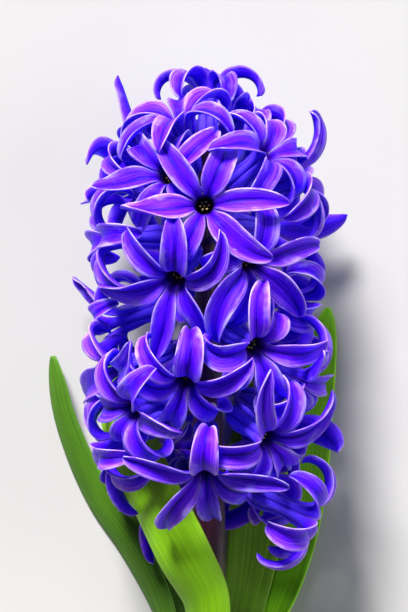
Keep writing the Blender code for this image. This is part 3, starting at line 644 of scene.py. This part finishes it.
# Tepals of the florets that show most, anticlockwise as one looks into the throat: where the tip points,
# how far the tepal flares, curls back and twists, in degrees in the floret's own frame.
FACING = {
    33: ((0, 28, 190, 0), (60, 50, 180, 0), (118, 50, 180, 0),
         (180, 28, 180, 0), (240, 50, 150, 0), (300, 50, 150, 0)),
    32: ((0, 60, 150, 0), (60, 60, 150, 0), (120, 60, 150, 0),
         (185, 64, 140, 0), (235, 66, 120, 0), (290, 62, 110, 0)),
    31: ((10, 56, 150, 0), (70, 56, 180, 0), (130, 56, 190, 0),
         (185, 60, 170, 0), (240, 60, 170, 0), (305, 56, 150, 0)),
    30: ((-15, 70, 150, 0), (40, 60, 170, 0), (92, 30, 12, 12),
         (160, 60, 150, 0), (220, 66, 170, 0), (280, 66, 150, 0)),
    29: ((0, 66, 150, 0), (55, 60, 200, 0), (110, 66, 120, 0),
         (175, 74, 60, 20), (230, 66, 150, 0), (295, 66, 190, 0)),
    27: ((40, 66, 120, 0), (84, 62, 170, 0), (136, 58, 205, 0),
         (190, 82, 25, 40), (250, 76, 100, 0), (312, 74, 60, 0)),
    26: ((20, 60, 120, 0), (85, 60, 195, 0), (140, 62, 190, 0),
         (205, 66, 150, 0), (265, 66, 120, 0), (320, 60, 120, 0)),
    24: ((0, 82, 20, 0), (68, 60, 150, 0), (124, 80, 60, 0),
         (180, 84, 40, 78), (246, 54, 190, 0), (322, 80, 45, 0)),
    23: ((20, 66, 150, 0), (75, 66, 150, 0), (125, 66, 150, 0),
         (165, 38, 8, 0), (235, 62, 150, 0), (300, 66, 150, 0)),
    22: ((5, 70, 150, 0), (60, 62, 190, 0), (130, 60, 150, 0),
         (190, 60, 150, 0), (245, 70, 150, 0), (300, 76, 130, 0)),
    21: ((12, 80, 50, 0), (75, 62, 190, 0), (139, 56, 195, 0),
         (242, 72, 70, 45), (272, 76, 80, 0), (318, 80, 35, 45)),
    19: ((24, 78, 70, 20), (84, 58, 120, 0), (136, 72, 110, 0),
         (172, 80, 50, -20), (238, 78, 20, 0), (286, 70, 50, 40)),
    18: ((20, 60, 150, 0), (85, 60, 195, 0), (140, 66, 190, 0),
         (200, 66, 185, 0), (255, 66, 180, 0), (315, 60, 150, 0)),
    17: ((0, 66, 150, 0), (55, 62, 180, 0), (105, 42, 14, 40),
         (170, 60, 150, 0), (235, 66, 150, 0), (300, 66, 170, 0)),
    16: ((2, 80, 50, 0), (45, 68, 150, 0), (85, 66, 150, 0),
         (140, 60, 190, 0), (262, 62, 160, 0), (318, 82, 40, 35)),
    14: ((10, 70, 150, 0), (60, 66, 195, 0), (120, 64, 170, 0),
         (205, 58, 60, 25), (250, 78, 70, 0), (305, 74, 130, 0)),
    11: ((20, 80, 55, 0), (80, 60, 180, 0), (132, 66, 160, 0),
         (180, 74, 110, 0), (238, 62, 120, 0), (292, 60, 140, 0)),
    9: ((-10, 60, 210, 0), (75, 66, 150, 0), (130, 60, 150, 0),
        (190, 60, 120, 0), (258, 34, 34, 25), (310, 60, 200, 0)),
    8: ((45, 70, 40, 20), (75, 62, 160, 0), (110, 80, 20, 0),
        (200, 66, 170, 0), (250, 70, 150, 0), (300, 66, 150, 0)),
    6: ((-12, 74, 30, 25), (50, 52, 210, 0), (110, 52, 210, 0),
        (170, 56, 210, 0), (230, 50, 215, 0), (290, 56, 210, 0)),
    3: ((8, 82, 60, -20), (84, 54, 190, 12), (168, 82, 50, 20),
        (240, 50, 70, 0), (272, 46, 75, 0), (318, 58, 150, 0)),
    0: ((30, 70, 150, 0), (85, 60, 170, 0), (140, 64, 150, 0),
        (200, 60, 190, 0), (250, 66, 150, 0), (310, 60, 140, 0)),
}
POSES, FREE_POSES = 260, 500
# What a pose can stray in, how far, and the bounds of a free pose, in degrees. The length strays by a
# share instead, the 3.4 degrees taken as radians, and a free pose's length has its own range.
STRAYS = {
    "swing": (14, -28, 28),
    "flare": (13, 15, 98),
    "curl": (42, 8, 185),
    "sway": (18, -45, 45),
    "twist": (14, -40, 40),
    "length": (3.4, 0, 0),
}
LEAST_FLARE, MOST_FLARE, LEAST_CURL, MOST_CURL = 0.25, 1.75, 0.1, 3.9
SHORTEST, LONGEST_FREE = 0.55, 0.98
# The share of the tepals left to chance that hardly curl.
HALF_OPEN = 0.16
# The least gap between tepals, how far one may press on the surface, and how far its neighbours can be.
CLEARANCE, PRESS, NEIGHBOURHOOD = 0.22, 0.35, 48.0
COLLAR_RADIUS, COLLAR_RISE = 5.6, 3.2


def width_at(t):
    """A tepal's width at t of its length, as a share of the widest: narrow root, broad middle, round point.

    It grows from ROOT_WIDTH by 3x^2 - 2x^3 up to t = 0.4, and falls by (1 - x^2.5)^0.8 from t = 0.38 on.
    """
    rise = ROOT_WIDTH + (1.0 - ROOT_WIDTH) * smooth(t / 0.4)
    fall = (1.0 - np.clip((t - 0.38) / 0.62, 0.0, 1.0) ** 2.5) ** 0.8
    return rise * fall


def tepal_frames(place, pose):
    """Centre line, side, inner normal and width of one tepal at each step of its length.

    In the plane through the floret's axis the line leaves the mouth along the axis, flares outwards over
    its first part and then curls back: its angle from the axis grows to flare by 1 - (1 - t / 0.42)^2,
    and by curl t^1.6 besides. Swing and sway take it sideways, early and late, and twist turns it about
    its own line.
    """
    t = np.linspace(0.0, 1.0, TEPAL_STEPS + 1)
    step = TEPAL_LENGTH * place["size"] * pose["length"] / TEPAL_STEPS
    ease = 1.0 - (1.0 - np.clip(t / 0.42, 0.0, 1.0)) ** 2
    heading = ROOT_LEAN + (pose["flare"] - ROOT_LEAN) * ease + pose["curl"] * t**1.6
    middle = (heading[1:] + heading[:-1]) / 2
    out = ROOT_RADIUS * place["size"] + np.concatenate([[0.0], np.cumsum(np.sin(middle))]) * step
    forward = np.concatenate([[0.0], np.cumsum(np.cos(middle))]) * step
    turn = pose["turn"] + pose["swing"] * smooth(t / 0.6) + pose["sway"] * t**2
    radial = np.outer(np.cos(turn), place["side"]) + np.outer(np.sin(turn), place["up"])
    mouth = place["base"] + place["axis"] * TUBE_LENGTH * place["size"]
    line = mouth + radial * out[:, None] + place["axis"] * forward[:, None]
    tangent = unit(np.gradient(line, axis=0))
    around = np.cross(place["axis"], radial)
    across = unit(around - tangent * (around * tangent).sum(1, keepdims=True))
    normal = np.cross(tangent, across)
    roll = pose["twist"] * smooth(t)[:, None]
    side = across * np.cos(roll) + normal * np.sin(roll)
    inner = normal * np.cos(roll) - across * np.sin(roll)
    return line, side, inner, TEPAL_WIDTH * place["size"] * pose["breadth"] * width_at(t)


def tepal_rings(frames, grow=0.0):
    """The plain blade's points (stations, 4, 3): left edge, midrib, right edge and keel at each."""
    line, side, inner, width = frames
    at = list(TEPAL_STATIONS)
    half = (width[at] / 2 + grow)[:, None]
    rise = (CHANNEL * width[at])[:, None]
    middle, s, n = line[at], side[at], inner[at]
    left, right = middle - s * half + n * rise, middle + s * half + n * rise
    return np.stack([left, middle + n * grow, right, middle - n * (TEPAL_THICKNESS + grow)], 1)


def ring_faces(first, second, count):
    """Triangles that join two rings of count points, given the number of each ring's first point."""
    faces = []
    for i in range(count):
        j = (i + 1) % count
        faces += [(first + i, first + j, second + j), (first + i, second + j, second + i)]
    return faces


def plain_tube(place):
    """Points and faces of the plain tube: rings at base, belly and waist, six notches, mouth and throat."""
    size = place["size"]
    turns = np.array([pose["turn"] for pose in place["poses"]])
    between = (turns + np.roll(turns, -1)) / 2 + np.where(np.roll(turns, -1) < turns, math.pi, 0.0)

    def ring(angles, radius, height):
        """Points of a circle round the floret's axis, at height above the base."""
        radial = np.outer(np.cos(angles), place["side"]) + np.outer(np.sin(angles), place["up"])
        return place["base"] + radial * radius * size + place["axis"] * height * size

    points = np.concatenate(
        [
            ring(turns, BASE_RADIUS, 0.0),
            ring(turns, BELLY_RADIUS, BELLY_HEIGHT),
            ring(turns, WAIST_RADIUS, WAIST_HEIGHT),
            ring(between, MOUTH_RADIUS, TUBE_LENGTH - 0.3),
            ring(turns, MOUTH_RADIUS + 0.25, TUBE_LENGTH),
            ring(turns, MOUTH_RADIUS * 0.72, TUBE_LENGTH),
            ring(turns[:1], 0.0, TUBE_LENGTH - THROAT_DEPTH),
        ]
    )
    faces = [(0, i + 1, i) for i in range(1, 5)]
    faces += ring_faces(0, 6, 6) + ring_faces(6, 12, 6)
    for k in range(TEPALS):
        after, before = (k + 1) % TEPALS, (k - 1) % TEPALS
        low, high, notch, last = 12 + k, 12 + after, 18 + k, 18 + before
        outer, inner, throat = 24 + k, 30 + k, 36
        faces += [(low, high, notch), (low, notch, outer), (low, outer, last)]
        faces += [(last, inner, throat), (inner, notch, throat)]
    return points, faces


def blade_trees(place, k, frames, grow):
    """Search trees of one plain tepal swollen by grow, whole and without its root, and its lowest point."""
    rings = tepal_rings(frames, grow)
    line, _, inner, _ = frames
    tip = line[-1] - inner[-1] * TEPAL_THICKNESS / 2 + unit(line[-1] - line[-2]) * grow
    root = place["tube_points"][[18 + (k - 1) % TEPALS, 30 + k, 18 + k, 24 + k]]
    points = np.concatenate([root, rings.reshape(-1, 3), tip[None]]).tolist()
    faces = []
    for n in range(len(rings)):
        faces += ring_faces(4 * n, 4 * n + 4, 4)
    last = 4 * len(rings)
    faces += [(last + i, last + (i + 1) % 4, last + 4) for i in range(4)]
    whole = BVHTree.FromPolygons(points, faces)
    free = BVHTree.FromPolygons(points, faces[8:])
    return whole, free, min(rings[:, :, 2].min(), tip[2])


def tree_of(points, faces):
    """A search tree of a mesh, which finds what it touches."""
    return BVHTree.FromPolygons(np.asarray(points).tolist(), faces)


def collar_tree(place):
    """The tube with the room that its tepals need at their roots: a cup that widens past the mouth."""
    points, faces = list(place["tube_points"]), [f for f in place["tube_faces"] if max(f) < 30]
    rim = place["axis"] * (TUBE_LENGTH + COLLAR_RISE) * place["size"]
    for radius in (COLLAR_RADIUS, 0.0):
        for pose in place["poses"]:
            radial = math.cos(pose["turn"]) * place["side"] + math.sin(pose["turn"]) * place["up"]
            points.append(place["base"] + radial * radius * place["size"] + rim)
    faces += ring_faces(24, 37, 6) + ring_faces(37, 43, 6)
    return tree_of(points, faces)


def pose_steps():
    """The ways a tepal can stray from its favourite pose, smallest first, and then poses of any kind."""
    rng = np.random.default_rng(SEED + 1)
    size, low, high = np.radians(list(STRAYS.values())).T
    near = rng.normal(size=(POSES, 6)) * np.linspace(0.35, 2.2, POSES)[:, None]
    near[0] = 0.0
    near = near[np.argsort((near**2).sum(1).round(6), kind="stable")] * size
    near[:, 5] = -abs(near[:, 5])
    free = rng.uniform(low, high, (FREE_POSES, 6))
    free[:, 5] = np.linspace(LONGEST_FREE, SHORTEST, FREE_POSES)
    return [("stray", row) for row in near] + [("pose", row) for row in free]


def favourites(place, rng):
    """The poses of a floret's tepals with nothing near them. Their roots share out the mouth."""
    facing = FACING.get(place["number"])
    if facing:
        tips = [math.radians(tip) for tip, _, _, _ in facing]
        start = sum(tips) / TEPALS - math.radians(150)
    else:
        start = rng.uniform(0.0, math.tau)
    poses = []
    for k in range(TEPALS):
        root = start + k * math.tau / TEPALS
        flare = rng.uniform(44, 74)
        curl = rng.uniform(15, 50) if rng.random() < HALF_OPEN else rng.uniform(110, 210)
        pose = {
            "turn": root,
            "flare": math.radians(flare),
            "curl": math.radians(curl),
            "swing": 0.0,
            "sway": math.radians(rng.uniform(-26, 26)),
            "twist": math.radians(rng.uniform(-18, 18)),
            "length": rng.uniform(0.94, 1.05),
            "breadth": BREADTHS[k % 2],
        }
        if facing:
            pose["flare"], pose["curl"], pose["twist"] = (math.radians(v) for v in facing[k][1:])
            pose["sway"] = tips[k] - root
        poses.append(pose)
    return poses


def strayed(pose, kind, row):
    """The pose after a small step away from it, or with new values that keep only its root and lean."""
    moved = dict(pose)
    for name, value in zip(STRAYS, row):
        if kind == "stray" or name == "sway":
            moved[name] += value
        else:
            moved[name] = value
    moved["curl"] = min(max(moved["curl"], LEAST_CURL), MOST_CURL)
    moved["flare"] = min(max(moved["flare"], LEAST_FLARE), MOST_FLARE)
    moved["length"] = max(moved["length"], SHORTEST)
    return moved


def settle(places, fixed):
    """Gives every tepal the pose nearest its favourite in which it touches nothing, from the front back."""
    rng = np.random.default_rng(SEED + 2)
    strays = pose_steps()
    for place in places:
        place["poses"] = favourites(place, rng)
        place["tepals"] = []
        place["tube_points"], place["tube_faces"] = plain_tube(place)
        place["tube"] = tree_of(place["tube_points"], place["tube_faces"])
        place["collar"] = collar_tree(place)
        place["mouth"] = place["base"] + place["axis"] * TUBE_LENGTH * place["size"]
        place["blades"], place["free"] = {}, {}
    for place in sorted(places, key=lambda p: -p["mouth"][2]):
        others = [p for p in places if p is not place]
        near = [p for p in others if np.linalg.norm(p["mouth"] - place["mouth"]) < NEIGHBOURHOOD]
        solids = fixed + [p["collar"] for p in near]
        solids += [blade for p in near for blade in p["blades"].values()]
        for k in range(TEPALS):
            own = [place["tube"]] + list(place["free"].values())
            for kind, row in strays:
                pose = strayed(place["poses"][k], kind, row)
                frames = tepal_frames(place, pose)
                whole, free, lowest = blade_trees(place, k, frames, CLEARANCE)
                if lowest < -PRESS:
                    continue
                if any(whole.overlap(other) for other in solids):
                    continue
                if any(free.overlap(other) for other in own):
                    continue
                break
            place["poses"][k] = pose
            place["blades"][k], place["free"][k], _ = blade_trees(place, k, frames, 0.0)
            place["tepals"].append(frames)


def plain_rings(rings):
    """A search tree of a closed run of rings."""
    rows, sides = rings.shape[:2]
    faces = []
    for n in range(rows - 1):
        faces += ring_faces(n * sides, (n + 1) * sides, sides)
    last = (rows - 1) * sides
    faces += [(0, i + 1, i) for i in range(1, sides - 1)]
    faces += [(last, last + i, last + i + 1) for i in range(1, sides - 1)]
    return tree_of(rings.reshape(-1, 3), faces)


def plain_leaf(rows, stations=12, segments=6):
    """A search tree of a leaf with few faces, closed at both ends."""
    blade, _ = leaf_surface(rows, stations, segments)
    count = 2 * segments
    last = (stations - 1) * count
    faces = []
    for first in range(0, last, count):
        faces += ring_faces(first, first + count, count)
    for first, flip in ((0, True), (last, False)):
        for i in range(segments):
            quad = [first + m % count for m in (i, i + 1, count - i - 1, count - i)]
            quad = list(dict.fromkeys(quad))
            quad = quad[::-1] if flip else quad
            faces += [(quad[0], quad[m], quad[m + 1]) for m in range(1, len(quad) - 1)]
    return tree_of(blade.reshape(-1, 3), faces)


# The stem, the pedicels and the leaves, with few faces, stand still while the tepals find their poses.
ys = np.linspace(NECK_Y, TIP_Y, 14)
radii = [scape_radius(y) for y in ys]
radii[-1] *= 0.6
fixed = [plain_rings(tube_rings([scape_point(y) for y in ys], radii, 10))]
fixed += [plain_rings(tube_rings(pedicel_line(place, 4), [PEDICEL_RADIUS] * 4, 5)) for place in places]
fixed += [plain_leaf(rows) for rows in LEAVES.values()]
settle(places, fixed)

ACROSS = 15
TUBE_ROWS = 16
# The inner face keeps this far off the surface, because the tepal's wall lies outside it.
LOWEST_SKIN = 0.5
# A tepal's wall at its margins, and how much thicker it is on the midline.
MARGIN_WALL, MIDLINE_WALL = 0.26, 0.60
# The tube's grooves as a share of its radius, the rib on a tepal's midline with its width as a share of
# the half width, and the height and number of the waves along its margins.
GROOVE, RIB, RIB_WIDTH, WAVE, WAVES = 0.10, 0.34, 0.13, 0.16, 1.4


def tube_radius(h):
    """Inner radius of the tube at height h, a cubic curve through seven radii.

    The tube swells to a belly round the ovary, narrows to a waist and opens at the mouth.
    """
    knots = np.array([0.0, 1.2, 3.8, 6.5, 9.2, 12.0, TUBE_LENGTH])
    outer = np.array([1.0, 2.1, 2.55, 2.2, 1.85, 2.05, ROOT_RADIUS])
    return curve_at(knots, outer, h)


def floret_surface(place, k, rng):
    """Points (rows, ACROSS, 3) of one sixth of the tube and the tepal that it runs into, with corners.

    In the tube the strip is sixty degrees of a circle, drawn in at the grooves. Past the mouth its
    section opens into a channel that lies in the tepal's own frame: x = u w/2, height = c w |u|^1.9,
    with a rib exp(-(u / RIB_WIDTH)^2) on the midline and a slight wave |u|^3 along the margins. The two
    are blended over the tepal's first quarter.
    """
    size = place["size"]
    u = np.linspace(-1.0, 1.0, ACROSS)
    turn = place["poses"][k]["turn"]
    h = np.concatenate([[0.0], np.linspace(0.0, TUBE_LENGTH, TUBE_ROWS)[:-1]])
    radius = tube_radius(h)
    radius[0] = 0.0
    groove = 1.0 - GROOVE * np.abs(u) ** 3
    groove = 1.0 + (groove - 1.0)[None] * np.sin(np.pi * h / TUBE_LENGTH)[:, None]
    angle = turn + u * math.pi / TEPALS
    radial = np.cos(angle)[:, None] * place["side"] + np.sin(angle)[:, None] * place["up"]
    tube = place["base"] + radial[None] * (radius[:, None] * groove * size)[..., None]
    tube = tube + place["axis"] * (h * size)[:, None, None]
    line, side, inner, width = place["tepals"][k]
    t = np.linspace(0.0, 1.0, TEPAL_STEPS + 1)
    blend = smooth(t / 0.25)[:, None]
    mouth = ROOT_RADIUS * size
    x = (1 - blend) * mouth * np.sin(u * math.pi / TEPALS) + blend * u * width[:, None] / 2
    hood = 1.0 + 1.1 * smooth((t - 0.78) / 0.22)[:, None]
    hollow = CHANNEL * hood * width[:, None] * np.abs(u) ** 1.9
    rib = RIB * size * np.exp(-((u / RIB_WIDTH) ** 2)) * (smooth(t / 0.3) * smooth((1 - t) / 0.2))[:, None]
    y = (1 - blend) * mouth * (1 - np.cos(u * math.pi / TEPALS)) + blend * (hollow - rib)
    phase = rng.uniform(0, math.tau, 2)
    wave = np.sin(math.tau * WAVES * t[:, None] + np.where(u < 0, phase[0], phase[1]))
    y = y + WAVE * size * wave * np.abs(u) ** 3 * smooth(t / 0.3)[:, None] * smooth((1 - t) / 0.15)[:, None]
    tepal = line[:, None] + side[:, None] * x[..., None] + inner[:, None] * y[..., None]
    points = np.concatenate([tube, tepal])
    v = np.concatenate([0.5 * h / TUBE_LENGTH, 0.5 + 0.5 * t])
    corners = np.stack(np.broadcast_arrays((u * 0.5 + 0.5)[None], v[:, None]), -1)
    thick = MARGIN_WALL + MIDLINE_WALL * (1 - u**2)[None] * (1 - 0.45 * smooth((v - 0.75) / 0.25))[:, None]
    return points, corners, np.broadcast_to(thick, points.shape[:2]) * size


def tepal_base(name):
    """A tepal skin's shader, (u, v, place), nearness to the margin, the tepal's tint, and two streaks.

    u and v are the map's own. place is v moved on by the tint, so no two tepals are marked alike.
    """
    n = Nodes(name, Subsurface_Weight=0.45, Subsurface_Scale=0.0016, Specular_IOR_Level=0.24)
    n.shader.inputs["Specular Tint"].default_value = (0.54, 0.34, 1.0, 1.0)
    n.shader.inputs["Subsurface Radius"].default_value = (0.3, 0.08, 1.0)
    u, v = n.along()
    tint = n.add("ShaderNodeAttribute", attribute_name="tint").outputs["Fac"]
    place = n.math("ADD", v, n.math("MULTIPLY", tint, 9.0))
    veins = n.streaks(u, place, 19.0, 2.4, 4.0)
    broad = n.streaks(u, place, 5.0, 4.0, 3.0)
    return n, (u, v, place), n.edge(u), tint, veins, broad


def pale_margin_and_highlight(n, where, edge, u_scale, most):
    """Where a tepal pales: a margin whose width wanders, wider past the bend than near the throat. It is
    partly the tepal's own paler margin and partly a painted highlight along its edges and over the bend.
    """
    u, v, place = where
    wander = n.streaks(u, place, u_scale, 7.0, 2.0)
    width = n.ramp(wander, [(0.36, 0.0), (0.52, 0.28), (0.70, 0.95)])
    start = n.math("SUBTRACT", 1.0, width)
    near = n.math("DIVIDE", n.math("SUBTRACT", edge, start), n.math("MAXIMUM", width, 0.05), clamp=True)
    near = n.math("POWER", near, 1.7)
    fade = n.streaks(u, n.math("ADD", place, 3.7), 1.7, 9.0, 2.0)
    near = n.math("MULTIPLY", near, n.ramp(fade, [(0.36, 0.12), (0.60, 1.0)]))
    # Painted highlight: the pale margin grows stronger past the bend, where the curled tepal faces the
    # light.
    bend = n.ramp(v, [(0.52, 0.15), (0.68, 0.75), (0.85, 1.0)])
    return n.math("MULTIPLY", n.math("MULTIPLY", near, bend), most)


def tepal_inner_material():
    """Inner face: waxy violet-blue, a dark midline, fine veins, and uneven lilac margins that are partly
    painted highlight. Painted shade darkens the tepal roots and turns the inside of the tube near black.
    """
    n, where, edge, tint, veins, broad = tepal_base("tepal inner face")
    v = where[1]
    body = n.ramp(n.noisy(edge, broad, 0.9), [
        (0.0, (0.018, 0.000, 0.38)), (0.08, (0.046, 0.001, 0.70)), (0.35, (0.096, 0.004, 0.97)),
        (0.70, (0.155, 0.026, 0.99)), (1.0, (0.25, 0.090, 0.99)),
    ])
    shade = n.ramp(veins, [(0.36, (0.46, 0.25, 0.72)), (0.50, 1.0), (0.64, (1.75, 2.8, 1.06))])
    colour = n.mix(0.9, body, shade, "MULTIPLY")
    # Lilac margins, partly the tepal's own paler edge and partly painted highlight.
    colour = n.mix(pale_margin_and_highlight(n, where, edge, 1.3, 0.85), colour, (0.56, 0.49, 0.97))
    hue = n.ramp(tint, [(0.0, (0.80, 0.85, 0.96)), (0.5, 1.0), (1.0, (1.20, 1.05, 0.99))])
    colour = n.mix(1.0, colour, hue, "MULTIPLY")
    # Painted shade: the tepal darkens towards the throat, and the inside of the tube below the mouth is
    # painted near black.
    root = n.ramp(v, [(0.49, (0.22, 0.12, 0.30)), (0.59, 1.0)])
    colour = n.mix(1.0, colour, root, "MULTIPLY")
    throat = n.ramp(v, [(0.40, 1.0), (0.51, 0.0)])
    colour = n.mix(throat, colour, (0.008, 0.002, 0.03))
    n.link("Roughness", n.line(veins, 0.35, 0.24))
    return n.finished(colour, n.line(broad, 0.8, veins), 0.55, 0.0005)


def tepal_outer_material():
    """Outer face and tube: bluer, with a dark keel line along each tepal, uneven pale margins that are
    partly painted highlight, and the tube painted darker towards its six grooves as shade in the creases.
    """
    n, where, edge, _, veins, broad = tepal_base("tepal outer face")
    v = where[1]
    body = n.ramp(n.noisy(edge, broad, 0.8), [
        (0.0, (0.020, 0.001, 0.46)), (0.16, (0.040, 0.002, 0.76)), (0.50, (0.080, 0.008, 0.97)),
        (0.80, (0.13, 0.025, 0.98)), (1.0, (0.24, 0.085, 0.99)),
    ])
    # Pale margins, partly the tepal's own and partly painted highlight.
    body = n.mix(pale_margin_and_highlight(n, where, edge, 1.1, 0.6), body, (0.46, 0.36, 0.95))
    # Painted shade in the creases: the tube darkens towards its six grooves.
    groove_shaded_blues = [(0.0, (0.11, 0.050, 0.95)), (0.7, (0.08, 0.030, 0.85)), (1.0, (0.04, 0.012, 0.50))]
    tube = n.ramp(edge, groove_shaded_blues)
    colour = n.mix(n.ramp(v, [(0.42, 0.0), (0.60, 1.0)]), tube, body)
    shade = n.ramp(veins, [(0.34, (0.66, 0.52, 0.84)), (0.52, 1.0), (0.70, (1.25, 1.6, 1.03))])
    colour = n.mix(0.85, colour, shade, "MULTIPLY")
    foot = n.ramp(v, [(0.0, (0.6, 0.5, 0.5)), (0.12, 1.0)])
    colour = n.mix(1.0, colour, foot, "MULTIPLY")
    n.link("Roughness", n.line(veins, 0.35, 0.26))
    return n.finished(colour, n.line(broad, 0.8, veins), 0.5, 0.0005)


tepal_skins = [tepal_inner_material(), tepal_outer_material()]
rng = np.random.default_rng(SEED + 3)

for place in places:
    node = f"floret_{place['number'] + 1:02d}"
    grids = [floret_surface(place, k, rng) for k in range(TEPALS)]
    quads = grid_quads(grids[0][0].shape[0], ACROSS)
    points, quads, corners = join([(p.reshape(-1, 3), quads, c.reshape(-1, 2)) for p, c, _ in grids])
    points[:, 2] = np.maximum(points[:, 2], LOWEST_SKIN)
    strip = np.repeat(rng.uniform(0, 1, TEPALS), len(points) // TEPALS)
    marks = (("tint", strip), ("thick", np.concatenate([g[2].ravel() for g in grids])))
    bloom = make_piece(node + "_bloom", points, quads, tepal_skins, corners, 2e-6, marks=marks)
    group = bloom.vertex_groups.new(name="thickness")
    values = np.empty(len(bloom.data.vertices), np.float32)
    bloom.data.attributes["thick"].data.foreach_get("value", values)
    for step in np.unique(np.round(values, 2)):
        group.add(np.nonzero(np.round(values, 2) == step)[0].tolist(), float(step), "REPLACE")
    # The group holds the wall in millimetres, so one of it is a thousandth of a metre.
    wall = bloom.modifiers.new("wall", "SOLIDIFY")
    wall.thickness = 0.001
    wall.offset = -1.0
    wall.vertex_group = "thickness"
    wall.material_offset = 1
    wall.material_offset_rim = 0
    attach(bloom, "root")
    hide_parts(node)


# ---------------------------------------------------------------------------------------------------
# Stamens and pistils. Six dark anthers tipped with yellow pollen stand round each throat, just below
# the mouth, with the pistil's short column between them. They grow from the inside of the tube.
# ---------------------------------------------------------------------------------------------------

# Depths are from the mouth down to the anthers' tips, and from there down to the pistil's.
ANTHER_LENGTH, ANTHER_RADIUS, ANTHER_RING, ANTHER_DEPTH, ANTHER_LEAN = 2.6, 0.40, 1.35, 0.9, 0.12
PISTIL_LENGTH, PISTIL_RADIUS, PISTIL_DEPTH = 3.4, 0.62, 1.4
ROD_ROWS, ROD_SIDES = 9, 8


def spindle(foot, axis, length, radius):
    """Points (ROD_ROWS, ROD_SIDES, 3) round a rod whose radius follows sqrt(1 - |2t - 1|^3)."""
    t = np.linspace(0.0, 1.0, ROD_ROWS)
    radii = radius * np.sqrt(np.maximum(1.0 - np.abs(2 * t - 1) ** 3, 0.02))
    return tube_rings(foot + np.outer(t * length, axis), radii, ROD_SIDES)


def anther_material():
    """Near-black violet skin, with pollen as yellow specks that thicken towards the tip."""
    n = Nodes("anther", Roughness=0.6)
    _, v = n.along()
    pollen = n.math("ADD", n.patches(2600.0), n.math("MULTIPLY", v, 0.32))
    stops = [(0.60, (0.010, 0.004, 0.03)), (0.78, (0.08, 0.04, 0.02)), (0.86, (0.75, 0.62, 0.16))]
    return n.finished(n.ramp(pollen, stops), n.patches(4000.0), 0.5, 0.0001)


parts = []
for place in places:
    size, axis = place["size"], place["axis"]
    top = place["base"] + axis * (TUBE_LENGTH - ANTHER_DEPTH) * size
    for pose in place["poses"]:
        radial = math.cos(pose["turn"]) * place["side"] + math.sin(pose["turn"]) * place["up"]
        foot = top + radial * ANTHER_RING * size - axis * ANTHER_LENGTH * size
        lean = unit(axis - radial * ANTHER_LEAN)
        parts.append(rings_part(spindle(foot, lean, ANTHER_LENGTH * size, ANTHER_RADIUS * size)))
    foot = top - axis * (PISTIL_LENGTH + PISTIL_DEPTH) * size
    parts.append(rings_part(spindle(foot, axis, PISTIL_LENGTH * size, PISTIL_RADIUS * size)))
points, quads, corners = join(parts)
stamens = make_piece("stamens", points, quads, [anther_material()], corners, flip=True)
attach(stamens, "root")


# ---------------------------------------------------------------------------------------------------
# Floor, light and camera. A plain pale surface, a far soft light from the flower's tip side, a weaker
# one from the right, and a camera that looks straight down.
# ---------------------------------------------------------------------------------------------------

def floor_material():
    """Matt pale card with a faint cloudiness."""
    n = Nodes("floor", Roughness=0.9, Specular_IOR_Level=0.0)
    cloud = n.ramp(n.patches(9.0), [(0.3, (0.46, 0.457, 0.453)), (0.7, (0.49, 0.487, 0.483))])
    n.link("Base Color", cloud)
    return n.material


FLOOR_REACH = 1.5
mesh = bpy.data.meshes.new("floor")
outline = [(FLOOR_REACH * x, FLOOR_REACH * y, 0) for x, y in ((-1, -1), (1, -1), (1, 1), (-1, 1))]
mesh.from_pydata(outline, [], [(0, 1, 2, 3)])
mesh.materials.append(floor_material())
floor = bpy.data.objects.new("floor", mesh)
bpy.context.scene.collection.objects.link(floor)


def far_light(name, direction, spread, strength, colour):
    """A light so far away that it falls alike everywhere. spread is how wide it looks, in degrees."""
    light = bpy.data.lights.new(name, "SUN")
    light.angle = math.radians(spread)
    light.energy = strength
    light.color = colour
    obj = bpy.data.objects.new(name, light)
    obj.rotation_euler = Vector(direction).to_track_quat("Z", "Y").to_euler()
    bpy.context.scene.collection.objects.link(obj)


far_light("key", (-0.22, 0.68, 0.60), 17.0, 8.0, (1.0, 0.98, 0.96))
far_light("side", (0.70, 0.10, 0.48), 40.0, 0.9, (0.92, 0.95, 1.0))

# A faint glow from all round. What shows of it behind the floor is as pale as the floor.
world = bpy.data.worlds.new("studio")
bpy.context.scene.world = world
world.use_nodes = True
nodes, wires = world.node_tree.nodes, world.node_tree.links
glow = nodes["Background"]
glow.inputs["Color"].default_value = (0.90, 0.94, 1.0, 1.0)
glow.inputs["Strength"].default_value = 0.16
backdrop = nodes.new("ShaderNodeBackground")
backdrop.inputs["Color"].default_value = (0.915, 0.90, 0.91, 1.0)
either = nodes.new("ShaderNodeMixShader")
wires.new(nodes.new("ShaderNodeLightPath").outputs["Is Camera Ray"], either.inputs[0])
wires.new(glow.outputs[0], either.inputs[1])
wires.new(backdrop.outputs[0], either.inputs[2])
wires.new(either.outputs[0], nodes["World Output"].inputs["Surface"])
bpy.context.scene.view_settings.view_transform = "Standard"

# In metres: the camera's height, that of the flower's middle, and how much length shows at that height.
VIEW_HEIGHT, FLOWER_MIDDLE, FRAME_LENGTH = 0.8, 0.03, 0.1591
FRAME_CENTRE = np.array([-1.8, 24.4, 0.0])
camera = bpy.data.cameras.new("camera")
camera.sensor_width = 36.0
camera.lens = camera.sensor_width * (VIEW_HEIGHT - FLOWER_MIDDLE) / FRAME_LENGTH
view = bpy.data.objects.new("camera", camera)
view.location = (*((FRAME_CENTRE + SHIFT)[:2] * 0.001), VIEW_HEIGHT)
bpy.context.scene.collection.objects.link(view)
bpy.context.scene.camera = view
